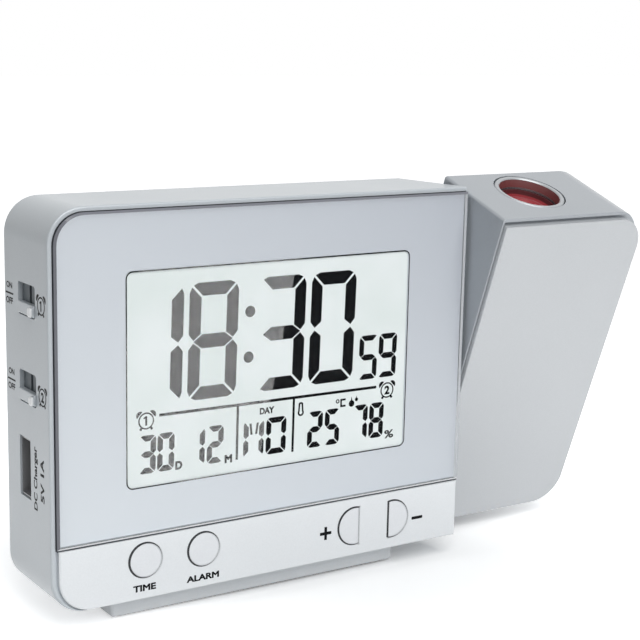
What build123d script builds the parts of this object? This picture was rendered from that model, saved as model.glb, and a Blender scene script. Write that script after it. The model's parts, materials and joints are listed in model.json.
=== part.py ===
from build123d import *
import os
from math import cos, radians, sin

# Projection alarm clock. Millimetres, +Z up, the display faces -Y.
# Origin: centre of the underside of the stand, on the table.
os.makedirs("parts", exist_ok=True)

# ---------------------------------------------------------------- driving dimensions
# Main case, seen from the front
case_left, case_right = -54.0, 55.0
case_bottom, case_top = 5.0, 93.4
case_corner = 8.0            # left corners; the right ones are square beside the projector head
rim_front = -24.4            # front edge of the case rim
case_back = -0.5
case_right_back = 51.3       # the right side leans in towards the back
wall = 2.0
rim_width = 1.0              # rim round the front panels
rim_round, edge_round = 0.45, 0.5
window_inset, fascia_inset = 1.15, 1.7     # outlines of the front panels, inside the case's own
window_bevel, fascia_bevel = 0.5, 0.3
fascia_corner = 7.6
seat = -23.75                # floor that the front panels rest on
inner_front = seat + wall

# Front panels
window_front, fascia_front = -25.5, -24.9
window_bottom, fascia_top = 20.0, 19.6
mask_thick, mask_inset = 0.15, 0.3
view_x, view_z = 1.2, 54.8   # centre of the visible display
view_w, view_h = 74.5, 48.4
view_corner = 1.6

# Front keys
round_keys = {"time_key": -31.7, "alarm_key": -17.1}
round_key_z = 14.1
round_hole_r = 4.2
half_key_z = 12.6
half_flat = {"plus_key": (25.7, -1), "minus_key": (34.0, 1)}   # flat side, side the bow points to
half_w, half_h = 6.3, 9.7
key_gap = 0.25
flange = 1.0

# Left side: two slide switches and the charging socket
pocket_y = -13.1
pocket_w, pocket_h, pocket_corner = 9.2, 7.1, 0.8
pocket_depth = 1.0           # down to the pad of the guide plate that fills the pocket's bottom
pocket_z = {"alarm_1_slider": 72.5, "alarm_2_slider": 53.3}
slit_w, slit_h, slit_rise = 1.2, 6.3, 0.2
slider_h, slider_travel = 2.5, 3.8
slider_proud, nub_proud = 0.35, 1.1
nub_w, nub_h, nub_drop = 1.8, 2.1, 0.15    # finger nub at the front end of a slider
socket_y, socket_z = -10.95, 35.1
socket_w, socket_h, socket_depth = 5.8, 13.3, 13.8     # metal shell, outside
tongue_thick, tongue_h = 1.84, 11.0

# Display stack and boards, front to back
glass_w, glass_h, glass_z = 78.4, 54.0, 54.2
glass_thick = 1.9
light_w, light_h, light_thick = 75.0, 49.0, 2.5
board_front, board_thick = -17.0, 1.6
board_back = board_front + board_thick
board_box = (-43.5, 7.5, 42.0, 88.0)

# Rear
cover_thick = 2.0
cover_inner = case_back - 0.1 - cover_thick
battery_x, battery_z = 5.0, 34.0
bay_w, bay_h, bay_floor = 50.0, 23.4, -13.35
cell_r, cell_length, cell_pitch = 5.25, 44.5, 11.6
door_thick, door_lap = 1.4, 1.0
inlet_x, inlet_z = 37.2, 16.5
buzzer_x, buzzer_z, buzzer_r = -32.0, 66.0, 10.0
sensor_x, sensor_z = 30.0, 80.0

# Stand
stand_w, stand_d = 76.8, 42.0
pad_thick = 0.5
stand_screw_x, stand_screw_y = 25.0, -11.0

# Projector head, built upright and then tipped forward about the hinge
head_left, head_right = 55.5, 102.0
head_bottom, head_top = case_bottom, case_top
head_back = 0.5
head_wall, head_back_wall = 2.6, 1.4
head_corner_low, head_corner_high = 8.5, 9.3
head_corner_left = 0.7
head_rim, head_rim_left = 0.75, 0.45       # rim above and left of the front plate; none at the right
head_round = 0.25
plate_inset_left, plate_inset_right, plate_inset_top = 0.6, 0.3, 1.7
plate_corner_low, plate_corner_high, plate_bevel = 8.2, 8.3, 0.15
head_seat = -23.3
head_tilt = 19.4
hinge_y, hinge_z = -12.5, 49.4
tube_r, tube_bore_r = 6.0, 3.6
hub_r = 9.8
hub_inner_x = 47.0
running = 0.05               # radial clearance of a turning or sliding fit
ease = 0.05                  # gap between pieces that are set against each other
film = 0.02                  # thinner gap between pieces that are pressed or soldered together

# Screws: head radius, head height, shank radius, length
case_screw = (2.7, 1.0, 1.25, 9.0)
holder_screw = (1.9, 1.1, 0.9, 3.6)
board_screw = (2.0, 1.0, 0.95, 5.0)
stand_screw = (3.0, 1.6, 1.3, 9.0)
head_screw = (2.4, 1.1, 1.0, 8.0)
# Their posts and pilot holes: radii
cover_post_r, cover_pilot_r = 3.0, 1.3
holder_post_r, holder_pilot_r = 2.2, 0.95
board_post_r, board_pilot_r = 2.0, 1.0
stand_post_r, stand_pilot_r = 2.8, 1.35
head_post_r, head_pilot_r = 2.5, 1.05

# Optics, on a vertical axis in the upright head
lens_x, lens_y = 74.2, -10.7
ring_r, ring_hole_r, ring_bore_r = 9.0, 9.25, 7.8
skirt_r = 8.4
well_depth = 2.8             # from the end face of the head down to the lens cell


# ---------------------------------------------------------------- planes and small forms
def front(y):
    """Plane at depth y that faces the viewer: local x is X, local y is Z, extrusions go to -Y."""
    return Plane.XZ.offset(-y)


def side(x):
    """Plane at x that faces right: local x is Y, local y is Z, extrusions go to +X."""
    return Plane.YZ.offset(x)


def level(z):
    """Horizontal plane at height z."""
    return Plane.XY.offset(z)


hinge_point = Location((0, hinge_y, hinge_z))
tip = hinge_point * Location((0, 0, 0), (head_tilt, 0, 0)) * Location((0, -hinge_y, -hinge_z))


def tipped(plane):
    """The same plane after the head has tipped forward about its hinge."""
    return Plane(tip * plane.location)


head_up = Axis((0, hinge_y, hinge_z), (0, -sin(radians(head_tilt)), cos(radians(head_tilt))))
head_rearward = Axis((0, hinge_y, hinge_z), (0, cos(radians(head_tilt)), sin(radians(head_tilt))))


def panel(plane, box, radii, length, mode=Mode.ADD):
    """Plate with its own radius at each corner, from bottom left anticlockwise."""
    left, bottom, right, top = box
    corners = [(left, bottom), (right, bottom), (right, top), (left, top)]
    with BuildSketch(plane) as outline:
        with BuildLine():
            FilletPolyline(*corners, radius=radii, close=True)
        make_face()
    extrude(outline.sketch, amount=length, mode=mode)


def discs(plane, spots, radius, length, mode=Mode.ADD):
    """Round posts, or holes, at each spot."""
    with BuildSketch(plane) as outline:
        with Locations(*spots):
            Circle(radius)
    extrude(outline.sketch, amount=length, mode=mode)


def blocks(plane, spots, width, height, length, mode=Mode.ADD, corner=0.0):
    """Rectangular blocks, or pockets, at each spot, with square or rounded corners."""
    with BuildSketch(plane) as outline:
        with Locations(*spots):
            if corner:
                RectangleRounded(width, height, corner)
            else:
                Rectangle(width, height)
    extrude(outline.sketch, amount=length, mode=mode)


def half_round(plane, flat_x, bow, grow, length, mode=Mode.ADD):
    """D shape: a flat side at flat_x, and a half-round bow towards bow (-1 left, +1 right)."""
    radius = half_h / 2 + grow
    bow_x = flat_x + bow * (half_w - half_h / 2)
    flat_side = flat_x - bow * grow
    with BuildSketch(plane) as outline:
        with Locations((bow_x, half_key_z)):
            Circle(radius)
        with Locations(((flat_side + bow_x) / 2, half_key_z)):
            Rectangle(abs(bow_x - flat_side), 2 * radius)
        with Locations((flat_side - bow * radius, half_key_z)):
            Rectangle(2 * radius, 2 * radius, mode=Mode.SUBTRACT)
    extrude(outline.sketch, amount=length, mode=mode)


def screws(plane, spots, head_r, head_h, shank_r, length):
    """Cross-recessed screws; the plane is under the heads and faces the way the shanks go."""
    discs(plane, spots, head_r, -head_h)
    discs(plane, spots, shank_r, length)
    recess = plane.offset(-head_h)
    blocks(recess, spots, head_r * 1.1, head_r * 0.3, head_h * 0.6, Mode.SUBTRACT)
    blocks(recess, spots, head_r * 0.3, head_r * 1.1, head_h * 0.6, Mode.SUBTRACT)


def grown(box, amount):
    left, bottom, right, top = box
    return (left - amount, bottom - amount, right + amount, top + amount)


def centred(x, z, width, height):
    return (x - width / 2, z - height / 2, x + width / 2, z + height / 2)


# ---------------------------------------------------------------- places that pieces share
case_box = (case_left, case_bottom, case_right, case_top)
cavity_box = (case_left + wall, case_bottom + wall, 0, case_top - wall)
cover_posts = [(-47.0, 12.0), (46.0, 12.0), (-47.0, 86.5), (46.0, 86.5)]
holder_spots = [(-33.0, 23.6), (33.0, 23.6), (-33.0, 85.4), (33.0, 85.4)]
board_spots = [(-41.0, 21.0), (39.8, 21.0), (-41.0, 86.0), (39.8, 86.0)]
stand_spots = [(-stand_screw_x, stand_screw_y), (stand_screw_x, stand_screw_y)]
glass_box = centred(view_x, glass_z, glass_w, glass_h)
fascia_box = (case_left + fascia_inset, case_bottom + 0.2, case_right, fascia_top)
window_box = (case_left + window_inset, window_bottom, case_right, case_top - window_inset)
window_corner = case_corner - window_inset
slider_rest = -(pocket_h - slider_h) / 2 + (pocket_h - slider_h - slider_travel) / 2
head_box = (head_left, head_bottom, head_right, head_top)
plate_box = (head_left + plate_inset_left, head_bottom + 0.2, head_right - plate_inset_right,
             head_top - plate_inset_top)
head_cavity = (head_left + head_wall, head_bottom + head_wall, head_right - head_wall,
               head_top - head_wall)
head_inner_back = head_back - head_back_wall
head_screw_spots = [(61.6, 12.5), (94.0, 14.0), (61.6, 83.5), (94.0, 83.5)]
lens_spot = [(lens_x, lens_y)]
hinge_spot = [(hinge_y, hinge_z)]
pocket_spots = [(pocket_y, z) for z in pocket_z.values()]

# ---------------------------------------------------------------- main case
holder_post = 2.0            # height of the posts that the display holder stands on
# Hollow of the case; its right wall follows the leaning side.
with BuildPart() as case_hollow:
    with BuildSketch(level(case_bottom + wall)) as plan:
        with BuildLine():
            Polyline((case_left + wall, inner_front), (case_right - 2.4, inner_front),
                     (case_right_back - 2.2, case_back + 1), (case_left + wall, case_back + 1),
                     close=True)
        make_face()
    extrude(amount=case_top - case_bottom - 2 * wall)
    fillet(case_hollow.edges().filter_by(Axis.Y).sort_by(Axis.X)[:2], case_corner - wall)

with BuildPart() as case_shell:
    panel(front(case_back), case_box, [case_corner, 0, 0, case_corner], case_back - rim_front)
    rim_edges = case_shell.edges().group_by(Axis.Y)[0]
    rim_edges = rim_edges.filter_by(lambda e: e.center().X < 50 and e.center().Z > case_bottom + 1)
    fillet(rim_edges, rim_round)
    fillet(case_shell.edges().group_by(Axis.Y)[-1], edge_round)
    with BuildSketch(level(case_bottom - 1)) as lean:
        with BuildLine():
            Polyline((case_right, rim_front + 1.0), (case_right + 1, rim_front + 1.0),
                     (case_right + 1, case_back + 1), (case_right_back, case_back + 1),
                     (case_right_back, case_back), close=True)
        make_face()
    extrude(amount=case_top - case_bottom + 2, mode=Mode.SUBTRACT)
    add(case_hollow.part, mode=Mode.SUBTRACT)
    # seat for the window and the fascia, open at the right and at the bottom
    seat_box = (case_left + rim_width, case_bottom, case_right + 1, case_top - rim_width)
    panel(front(seat), seat_box, [case_corner, 0, 0, case_corner - rim_width], 3, Mode.SUBTRACT)
    # openings in the front wall: display glass, key flanges
    panel(front(inner_front), grown(glass_box, 0.3), 0.5, 3, Mode.SUBTRACT)
    discs(front(inner_front), [(x, round_key_z) for x in round_keys.values()],
          round_hole_r + flange, 3, Mode.SUBTRACT)
    for flat_x, bow in half_flat.values():
        half_round(front(inner_front), flat_x, bow, flange + 0.1, 3, Mode.SUBTRACT)
    # openings in the left wall: switch pockets, charging socket
    blocks(side(case_left - 1), pocket_spots, pocket_w, pocket_h, wall + 2, Mode.SUBTRACT,
           pocket_corner)
    blocks(side(case_left - 1), [(socket_y, socket_z)], socket_w + 0.2, socket_h + 0.3,
           wall + 2, Mode.SUBTRACT)
    # posts for the rear cover, the display holder and the board
    discs(front(cover_inner - ease), cover_posts, cover_post_r, cover_inner - ease - inner_front)
    discs(front(inner_front + holder_post), holder_spots, holder_post_r, holder_post)
    discs(front(board_front - ease), board_spots, board_post_r, board_front - ease - inner_front)
    discs(front(cover_inner), cover_posts, cover_pilot_r, 12, Mode.SUBTRACT)
    discs(front(inner_front + 3), holder_spots, holder_pilot_r, 4, Mode.SUBTRACT)
    discs(front(board_front), board_spots, board_pilot_r, 6, Mode.SUBTRACT)
    # bosses for the stand's screws
    discs(level(case_bottom + wall), stand_spots, stand_post_r, 6)
    discs(level(case_bottom - 1), stand_spots, stand_pilot_r, 9, Mode.SUBTRACT)
    # hub of the hinge
    discs(side(hub_inner_x), hinge_spot, hub_r, case_right - hub_inner_x)
    discs(side(hub_inner_x - 1), hinge_spot, tube_r + running, case_right - hub_inner_x + 2,
          Mode.SUBTRACT)
case_shell.part.label = "case_shell"
export_step(case_shell.part, "parts/case_shell.step")

cover_sink = 1.3             # depth of the cover's screw recesses
bay_box = centred(battery_x, battery_z, bay_w, bay_h)
cover_box = (case_left + wall + 0.1, case_bottom + wall + 0.1, case_right_back - 2.4,
             case_top - wall - 0.1)
buzzer_slots = [(buzzer_x, buzzer_z + 2.8 * k) for k in range(-2, 3)]
sensor_slots = [(sensor_x, sensor_z + 2.6 * k) for k in range(-1, 2)]
with BuildPart() as rear_cover:
    cover_radius = case_corner - wall - 0.1
    panel(front(cover_inner + cover_thick), cover_box, [cover_radius, 0.5, 0.5, cover_radius],
          cover_thick)
    # battery bay: a tray that reaches inwards, with a ledge for the door
    panel(front(cover_inner + 0.1), grown(bay_box, 1.2), 1.0, cover_inner + 0.1 - bay_floor + 1.2)
    panel(front(case_back), bay_box, 0.5, case_back - bay_floor, Mode.SUBTRACT)
    panel(front(case_back), grown(bay_box, door_lap), 1.0, door_thick + 0.1, Mode.SUBTRACT)
    # screw holes, sound slots, air slots for the climate sensor, hole for the power inlet
    discs(front(case_back), cover_posts, 1.7, 4, Mode.SUBTRACT)
    discs(front(case_back), cover_posts, 2.9, cover_sink, Mode.SUBTRACT)
    blocks(front(case_back), buzzer_slots, 14.0, 1.4, 4, Mode.SUBTRACT)
    blocks(front(case_back), sensor_slots, 9.0, 1.2, 4, Mode.SUBTRACT)
    discs(front(case_back), [(inlet_x, inlet_z)], 3.4, 4, Mode.SUBTRACT)
rear_cover.part.label = "rear_cover"
export_step(rear_cover.part, "parts/rear_cover.step")

with BuildPart() as case_screws:
    screws(front(case_back - cover_sink + film), cover_posts, *case_screw)
case_screws.part.label = "case_screws"
export_step(case_screws.part, "parts/case_screws.step")

# ---------------------------------------------------------------- front panels and keys
with BuildPart() as window:
    panel(front(seat - mask_thick), window_box, [0, 0, 0, window_corner],
          seat - mask_thick - window_front)
    chamfer(window.edges().group_by(Axis.Y)[0], window_bevel)
window.part.label = "window"
export_step(window.part, "parts/window.step")

with BuildPart() as window_mask:
    mask_radii = [0, 0, 0, window_corner - mask_inset]
    panel(front(seat), grown(window_box, -mask_inset), mask_radii, mask_thick)
    view_box = centred(view_x, view_z, view_w, view_h)
    panel(front(seat + 1), view_box, view_corner, 3, Mode.SUBTRACT)
window_mask.part.label = "window_mask"
export_step(window_mask.part, "parts/window_mask.step")

with BuildPart() as button_fascia:
    panel(front(seat), fascia_box, [fascia_corner, 0, 0, 0], seat - fascia_front)
    chamfer(button_fascia.edges().group_by(Axis.Y)[0], fascia_bevel)
    discs(front(seat + 1), [(x, round_key_z) for x in round_keys.values()], round_hole_r, 4,
          Mode.SUBTRACT)
    for flat_x, bow in half_flat.values():
        half_round(front(seat + 1), flat_x, bow, 0, 4, Mode.SUBTRACT)
button_fascia.part.label = "button_fascia"
export_step(button_fascia.part, "parts/button_fascia.step")

key_front = fascia_front + ease
flange_front = seat + ease
flange_back = flange_front + 0.8
plunger_end = board_front - 2.5
for key_name, x in round_keys.items():
    with BuildPart() as round_key:
        discs(front(flange_front), [(x, round_key_z)], round_hole_r - key_gap,
              flange_front - key_front)
        fillet(round_key.edges().group_by(Axis.Y)[0], 0.25)
        discs(front(flange_back), [(x, round_key_z)], round_hole_r + flange - 0.2,
              flange_back - flange_front)
        discs(front(plunger_end), [(x, round_key_z)], 1.6, plunger_end - flange_back)
    round_key.part.label = key_name
    export_step(round_key.part, f"parts/{key_name}.step")

for key_name, (flat_x, bow) in half_flat.items():
    with BuildPart() as half_key:
        half_round(front(flange_front), flat_x, bow, -key_gap, flange_front - key_front)
        fillet(half_key.edges().group_by(Axis.Y)[0], 0.25)
        half_round(front(flange_back), flat_x, bow, flange - 0.2, flange_back - flange_front)
        discs(front(plunger_end), [(flat_x + bow * 2.9, half_key_z)], 1.6,
              plunger_end - flange_back)
    half_key.part.label = key_name
    export_step(half_key.part, f"parts/{key_name}.step")

# Silicone mat with a dome behind each key
dome_spots = [(x, round_key_z) for x in round_keys.values()]
dome_spots += [(flat_x + bow * 2.9, half_key_z) for flat_x, bow in half_flat.values()]
with BuildPart() as key_membrane:
    mat_back = board_front - ease
    panel(front(mat_back), (-38.5, 8.0, 41.5, 18.6), 1.0, 0.7)
    discs(front(mat_back - 0.7), dome_spots, 2.6, 0.9)
key_membrane.part.label = "key_membrane"
export_step(key_membrane.part, "parts/key_membrane.step")

# ---------------------------------------------------------------- display stack
glass_front = seat + ease
with BuildPart() as lcd_glass:
    panel(front(glass_front + glass_thick), glass_box, 0.4, glass_thick)
lcd_glass.part.label = "lcd_glass"
export_step(lcd_glass.part, "parts/lcd_glass.step")

holder_front = inner_front + ease
holder_back = holder_front + 3.4
ear_thick = holder_back - (inner_front + holder_post + ease)
light_box = centred(view_x, view_z, light_w, light_h)
zebra_z, zebra_w, zebra_h = 28.7, 66.0, 1.5
with BuildPart() as lcd_holder:
    panel(front(holder_back), (-41.0, 25.8, 43.4, 83.0), 1.5, holder_back - holder_front)
    discs(front(holder_back), holder_spots, 2.9, ear_thick)
    with BuildSketch(front(holder_back)) as necks:
        for x, z in holder_spots:
            with Locations((x, (z + glass_z) / 2)):
                Rectangle(5.8, abs(z - glass_z))
    extrude(necks.sketch, amount=ear_thick)
    panel(front(holder_back - 0.9), grown(light_box, 0.3), 0.5, 4, Mode.SUBTRACT)
    panel(front(holder_back + 1), grown(light_box, -2.5), 1.0, 6, Mode.SUBTRACT)
    blocks(front(holder_back + 1), [(view_x, zebra_z)], zebra_w + 0.4, zebra_h + 0.2, 6,
           Mode.SUBTRACT)
    discs(front(holder_back + 1), holder_spots, 1.05, 6, Mode.SUBTRACT)
lcd_holder.part.label = "lcd_holder"
export_step(lcd_holder.part, "parts/lcd_holder.step")

with BuildPart() as holder_screws:
    screws(front(holder_back + film), holder_spots, *holder_screw)
holder_screws.part.label = "holder_screws"
export_step(holder_screws.part, "parts/holder_screws.step")

with BuildPart() as backlight_panel:
    panel(front(holder_front + light_thick), light_box, 0.4, light_thick - film)
backlight_panel.part.label = "backlight_panel"
export_step(backlight_panel.part, "parts/backlight_panel.step")

# Rubber connector that joins the glass to the board
with BuildPart() as lcd_connector:
    connector_front = glass_front + glass_thick + film
    blocks(front(board_front - film), [(view_x, zebra_z)], zebra_w, zebra_h,
           board_front - film - connector_front)
lcd_connector.part.label = "lcd_connector"
export_step(lcd_connector.part, "parts/lcd_connector.step")

# ---------------------------------------------------------------- boards and what is on them
with BuildPart() as main_board:
    panel(front(board_back), board_box, 1.0, board_thick)
    discs(front(board_back + 1), board_spots, 1.2, 4, Mode.SUBTRACT)
main_board.part.label = "main_board"
export_step(main_board.part, "parts/main_board.step")

with BuildPart() as board_screws:
    screws(front(board_back + film), board_spots, *board_screw)
board_screws.part.label = "board_screws"
export_step(board_screws.part, "parts/board_screws.step")

with BuildPart() as controller_chip:
    discs(front(board_back + 1.3), [(-6.0, 64.0)], 8.0, 1.3 - film)
    fillet(controller_chip.edges().group_by(Axis.Y)[-1], 0.8)
controller_chip.part.label = "controller_chip"
export_step(controller_chip.part, "parts/controller_chip.step")

with BuildPart() as quartz_crystal:
    discs(side(10.0), [(board_back + 1.1, 60.0)], 1.0, 6.0)
quartz_crystal.part.label = "quartz_crystal"
export_step(quartz_crystal.part, "parts/quartz_crystal.step")

sensor_spot = [(sensor_x, sensor_z)]
with BuildPart() as climate_sensor:
    blocks(front(board_back + 3.0), sensor_spot, 7.0, 7.0, 3.0 - film)
    blocks(front(board_back + 4.0), sensor_spot, 3.2, 3.2, 1.0)
climate_sensor.part.label = "climate_sensor"
export_step(climate_sensor.part, "parts/climate_sensor.step")

with BuildPart() as buzzer:
    discs(front(cover_inner - ease), [(buzzer_x, buzzer_z)], buzzer_r, 3.5)
    discs(front(cover_inner), [(buzzer_x, buzzer_z)], buzzer_r - 1.2, 1.2, Mode.SUBTRACT)
buzzer.part.label = "buzzer"
export_step(buzzer.part, "parts/buzzer.step")

with BuildPart() as touch_foil:
    panel(level(case_top - wall - 0.22), (-20.0, -18.0, 20.0, -6.0), 2.0, 0.2)
touch_foil.part.label = "touch_foil"
export_step(touch_foil.part, "parts/touch_foil.step")

# ---------------------------------------------------------------- slide switches
guide_x = case_left + wall + ease
guide_thick = 1.0
switch_x = guide_x + guide_thick + ease
switch_depth = 3.6
pad_x = case_left + pocket_depth
with BuildPart() as switch_guides:
    blocks(side(guide_x), pocket_spots, 12.8, 11.0, guide_thick)
    blocks(side(pad_x), pocket_spots, pocket_w - 0.3, pocket_h - 0.3, guide_x - pad_x,
           corner=pocket_corner - 0.15)
    slit_spots = [(pocket_y, z + slit_rise) for z in pocket_z.values()]
    blocks(side(case_left), slit_spots, slit_w, slit_h, 6, Mode.SUBTRACT)
switch_guides.part.label = "switch_guides"
export_step(switch_guides.part, "parts/switch_guides.step")

with BuildPart() as slide_switches:
    blocks(side(switch_x), pocket_spots, 5.8, 10.8, switch_depth)
    blocks(side(switch_x - 1), pocket_spots, 1.4, slider_travel + 2.4, switch_depth, Mode.SUBTRACT)
slide_switches.part.label = "slide_switches"
export_step(slide_switches.part, "parts/slide_switches.step")

slider_w = pocket_w - 0.6
slider_back = pad_x - 0.12
stem_end = switch_x + 2.2
for slider_name, z in pocket_z.items():
    slider_spot = [(pocket_y, z + slider_rest)]
    nub_spot = [(pocket_y - (slider_w - nub_w) / 2, z + slider_rest - nub_drop)]
    with BuildPart() as slider:
        blocks(side(case_left - slider_proud), slider_spot, slider_w, slider_h,
               slider_proud + slider_back - case_left)
        fillet(slider.edges().group_by(Axis.X)[0], 0.2)
        blocks(side(case_left - nub_proud), nub_spot, nub_w, nub_h, nub_proud, corner=0.6)
        fillet(slider.edges().group_by(Axis.X)[0], 0.4)
        blocks(side(slider_back), slider_spot, 1.0, 1.6, stem_end - slider_back)
    slider.part.label = slider_name
    export_step(slider.part, f"parts/{slider_name}.step")

with BuildPart() as side_board:
    blocks(side(switch_x + switch_depth + film), [(pocket_y, 63.0)], 14.0, 34.0, 1.6)
side_board.part.label = "side_board"
export_step(side_board.part, "parts/side_board.step")

# ---------------------------------------------------------------- charging socket
socket_x = case_left + 0.4
socket_spot = [(socket_y, socket_z)]
tongue_y = socket_y + 0.9
with BuildPart() as charging_socket:
    blocks(side(socket_x), socket_spot, socket_w, socket_h, socket_depth)
    blocks(side(socket_x - 1), socket_spot, socket_w - 0.7, socket_h - 0.8, socket_depth + 0.6,
           Mode.SUBTRACT)
charging_socket.part.label = "charging_socket"
export_step(charging_socket.part, "parts/charging_socket.step")

tongue_end = socket_x + socket_depth - 0.42
tongue_start = socket_x + 2.0
with BuildPart() as charging_tongue:
    blocks(side(tongue_start), [(tongue_y, socket_z)], tongue_thick, tongue_h,
           tongue_end - tongue_start)
charging_tongue.part.label = "charging_tongue"
export_step(charging_tongue.part, "parts/charging_tongue.step")

contact_y = tongue_y - tongue_thick / 2 - 0.09
with BuildPart() as charging_contacts:
    contact_spots = [(contact_y, socket_z + dz) for dz in (-3.5, -1.2, 1.2, 3.5)]
    blocks(side(tongue_start + 1.0), contact_spots, 0.16, 1.1, 8.0)
charging_contacts.part.label = "charging_contacts"
export_step(charging_contacts.part, "parts/charging_contacts.step")

with BuildPart() as charger_board:
    charger_front = socket_y + socket_w / 2 + film
    panel(front(charger_front + 1.4), (-51.0, 24.5, -34.0, 46.0), 0.8, 1.4)
charger_board.part.label = "charger_board"
export_step(charger_board.part, "parts/charger_board.step")

# ---------------------------------------------------------------- rear: power and batteries
inlet_spot = [(inlet_x, inlet_z)]
with BuildPart() as power_inlet:
    blocks(front(cover_inner - ease), inlet_spot, 9.0, 9.0, 10.5)
    discs(front(case_back - 0.3), inlet_spot, 3.3, 2.4)
    discs(front(case_back), inlet_spot, 2.85, 10.0, Mode.SUBTRACT)
    discs(front(case_back - 1.2), inlet_spot, 0.9, 9.5)
power_inlet.part.label = "power_inlet"
export_step(power_inlet.part, "parts/power_inlet.step")

door_back = case_back - 0.1
with BuildPart() as battery_door:
    panel(front(door_back), grown(bay_box, door_lap - 0.2), 0.8, door_thick)
    # finger notch with grip ribs, and a latch tongue under the top edge
    blocks(front(door_back), [(battery_x, battery_z + bay_h / 2 - 4.0)], 12.0, 5.0, 0.6,
           Mode.SUBTRACT)
    rib_spots = [(battery_x, battery_z + bay_h / 2 - 5.2 + 1.2 * k) for k in range(3)]
    blocks(front(door_back - 0.3), rib_spots, 10.0, 0.5, 0.4)
    blocks(front(door_back - door_thick), [(battery_x, battery_z + bay_h / 2 - 0.9)], 8.0, 0.8, 2.6)
battery_door.part.label = "battery_door"
export_step(battery_door.part, "parts/battery_door.step")

cell_y = bay_floor + 0.1 + cell_r
cell_start = battery_x - bay_w / 2 + 3.0
cell_rows = [battery_z - cell_pitch / 2, battery_z + cell_pitch / 2]
with BuildPart() as battery_cells:
    for row, z in enumerate(cell_rows):
        nub_x = cell_start + cell_length - 1.0 if row == 0 else cell_start
        body_x = cell_start if row == 0 else cell_start + 1.0
        discs(side(body_x), [(cell_y, z)], cell_r, cell_length - 1.0)
        discs(side(nub_x), [(cell_y, z)], 1.9, 1.0)
battery_cells.part.label = "battery_cells"
export_step(battery_cells.part, "parts/battery_cells.step")

# A spring cone at the flat end of each cell and a plate with a dimple at its button end
left_plate_x = battery_x - bay_w / 2 + ease
right_plate_x = battery_x + bay_w / 2 - 0.45
cell_end = cell_start + cell_length
with BuildPart() as battery_contacts:
    blocks(side(left_plate_x), [(cell_y, battery_z)], 8.0, 21.0, 0.4)
    blocks(side(right_plate_x), [(cell_y, z) for z in cell_rows], 8.0, 9.0, 0.4)
    for plate_x, tip_x, row in ((left_plate_x + 0.4, cell_start - film, 0),
                                (right_plate_x, cell_end + film, 1)):
        cone_plane = side(plate_x)
        if tip_x < plate_x:
            cone_plane = Plane(cone_plane.origin, x_dir=(0, 1, 0), z_dir=(-1, 0, 0))
        z = cell_rows[row]
        local_z = z if tip_x > plate_x else -z
        with BuildSketch(cone_plane) as cone_foot:
            with Locations((cell_y, local_z)):
                Circle(3.4)
                Circle(2.6, mode=Mode.SUBTRACT)
        extrude(cone_foot.sketch, amount=abs(tip_x - plate_x), taper=9)
battery_contacts.part.label = "battery_contacts"
export_step(battery_contacts.part, "parts/battery_contacts.step")

# ---------------------------------------------------------------- stand
stand_sink = 2.0             # depth of the stand's screw recesses
with BuildPart() as stand:
    stand_box = (-stand_w / 2, -stand_d / 2, stand_w / 2, stand_d / 2)
    stand_top = case_bottom
    panel(level(pad_thick), stand_box, [0.8, 0.8, 4.0, 4.0], stand_top - pad_thick)
    chamfer(stand.edges().group_by(Axis.Z)[0], 0.4)
    rear_top = stand.edges().group_by(Axis.Z)[-1].filter_by(lambda e: e.center().Y > 1)
    fillet(rear_top.filter_by(lambda e: abs(e.center().X) < 36 or e.center().Y > 17), 0.8)
    # hollow underside round two screw bosses
    panel(level(pad_thick), grown(stand_box, -2.5), 2.0, 2.3, Mode.SUBTRACT)
    discs(level(pad_thick), stand_spots, 5.0, 2.6)
    discs(level(pad_thick), stand_spots, 3.2, stand_sink, Mode.SUBTRACT)
    discs(level(pad_thick), stand_spots, 1.7, 5.0, Mode.SUBTRACT)
stand.part.label = "stand"
export_step(stand.part, "parts/stand.step")

with BuildPart() as stand_pad:
    panel(level(0), grown(stand_box, -1.4), [0.8, 0.8, 3.0, 3.0], pad_thick)
stand_pad.part.label = "stand_pad"
export_step(stand_pad.part, "parts/stand_pad.step")

with BuildPart() as stand_screws:
    screws(level(pad_thick + stand_sink - film), stand_spots, *stand_screw)
stand_screws.part.label = "stand_screws"
export_step(stand_screws.part, "parts/stand_screws.step")

# ---------------------------------------------------------------- hinge of the head
clip_x = 45.4
clip_thick = 0.9
with BuildPart() as hinge_tube:
    tube_start = clip_x - 0.8
    flange_x = head_cavity[0] + ease
    discs(tipped(side(tube_start)), hinge_spot, tube_r, flange_x + 1.5 - tube_start)
    discs(tipped(side(flange_x)), hinge_spot, 9.0, 1.5)
    with BuildSketch(tipped(side(clip_x))) as clip_groove:
        with Locations(*hinge_spot):
            Circle(tube_r + 1)
            Circle(tube_r - 0.8, mode=Mode.SUBTRACT)
    extrude(clip_groove.sketch, amount=clip_thick + 0.1, mode=Mode.SUBTRACT)
    discs(tipped(side(tube_start - 1)), hinge_spot, tube_bore_r, 30, Mode.SUBTRACT)
hinge_tube.part.label = "hinge_tube"
export_step(hinge_tube.part, "parts/hinge_tube.step")

with BuildPart() as hinge_washer:
    discs(side(case_right + ease), hinge_spot, 9.5, head_left - case_right - 2 * ease)
    discs(side(case_right), hinge_spot, tube_r + 0.1, 1, Mode.SUBTRACT)
hinge_washer.part.label = "hinge_washer"
export_step(hinge_washer.part, "parts/hinge_washer.step")

with BuildPart() as hinge_clip:
    discs(tipped(side(clip_x + ease)), hinge_spot, 8.6, clip_thick)
    discs(tipped(side(clip_x)), hinge_spot, tube_r - 0.75, 2, Mode.SUBTRACT)
    blocks(tipped(side(clip_x)), [(hinge_y, hinge_z - 6.0)], 7.0, 12.0, 2, Mode.SUBTRACT)
hinge_clip.part.label = "hinge_clip"
export_step(hinge_clip.part, "parts/hinge_clip.step")

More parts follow.
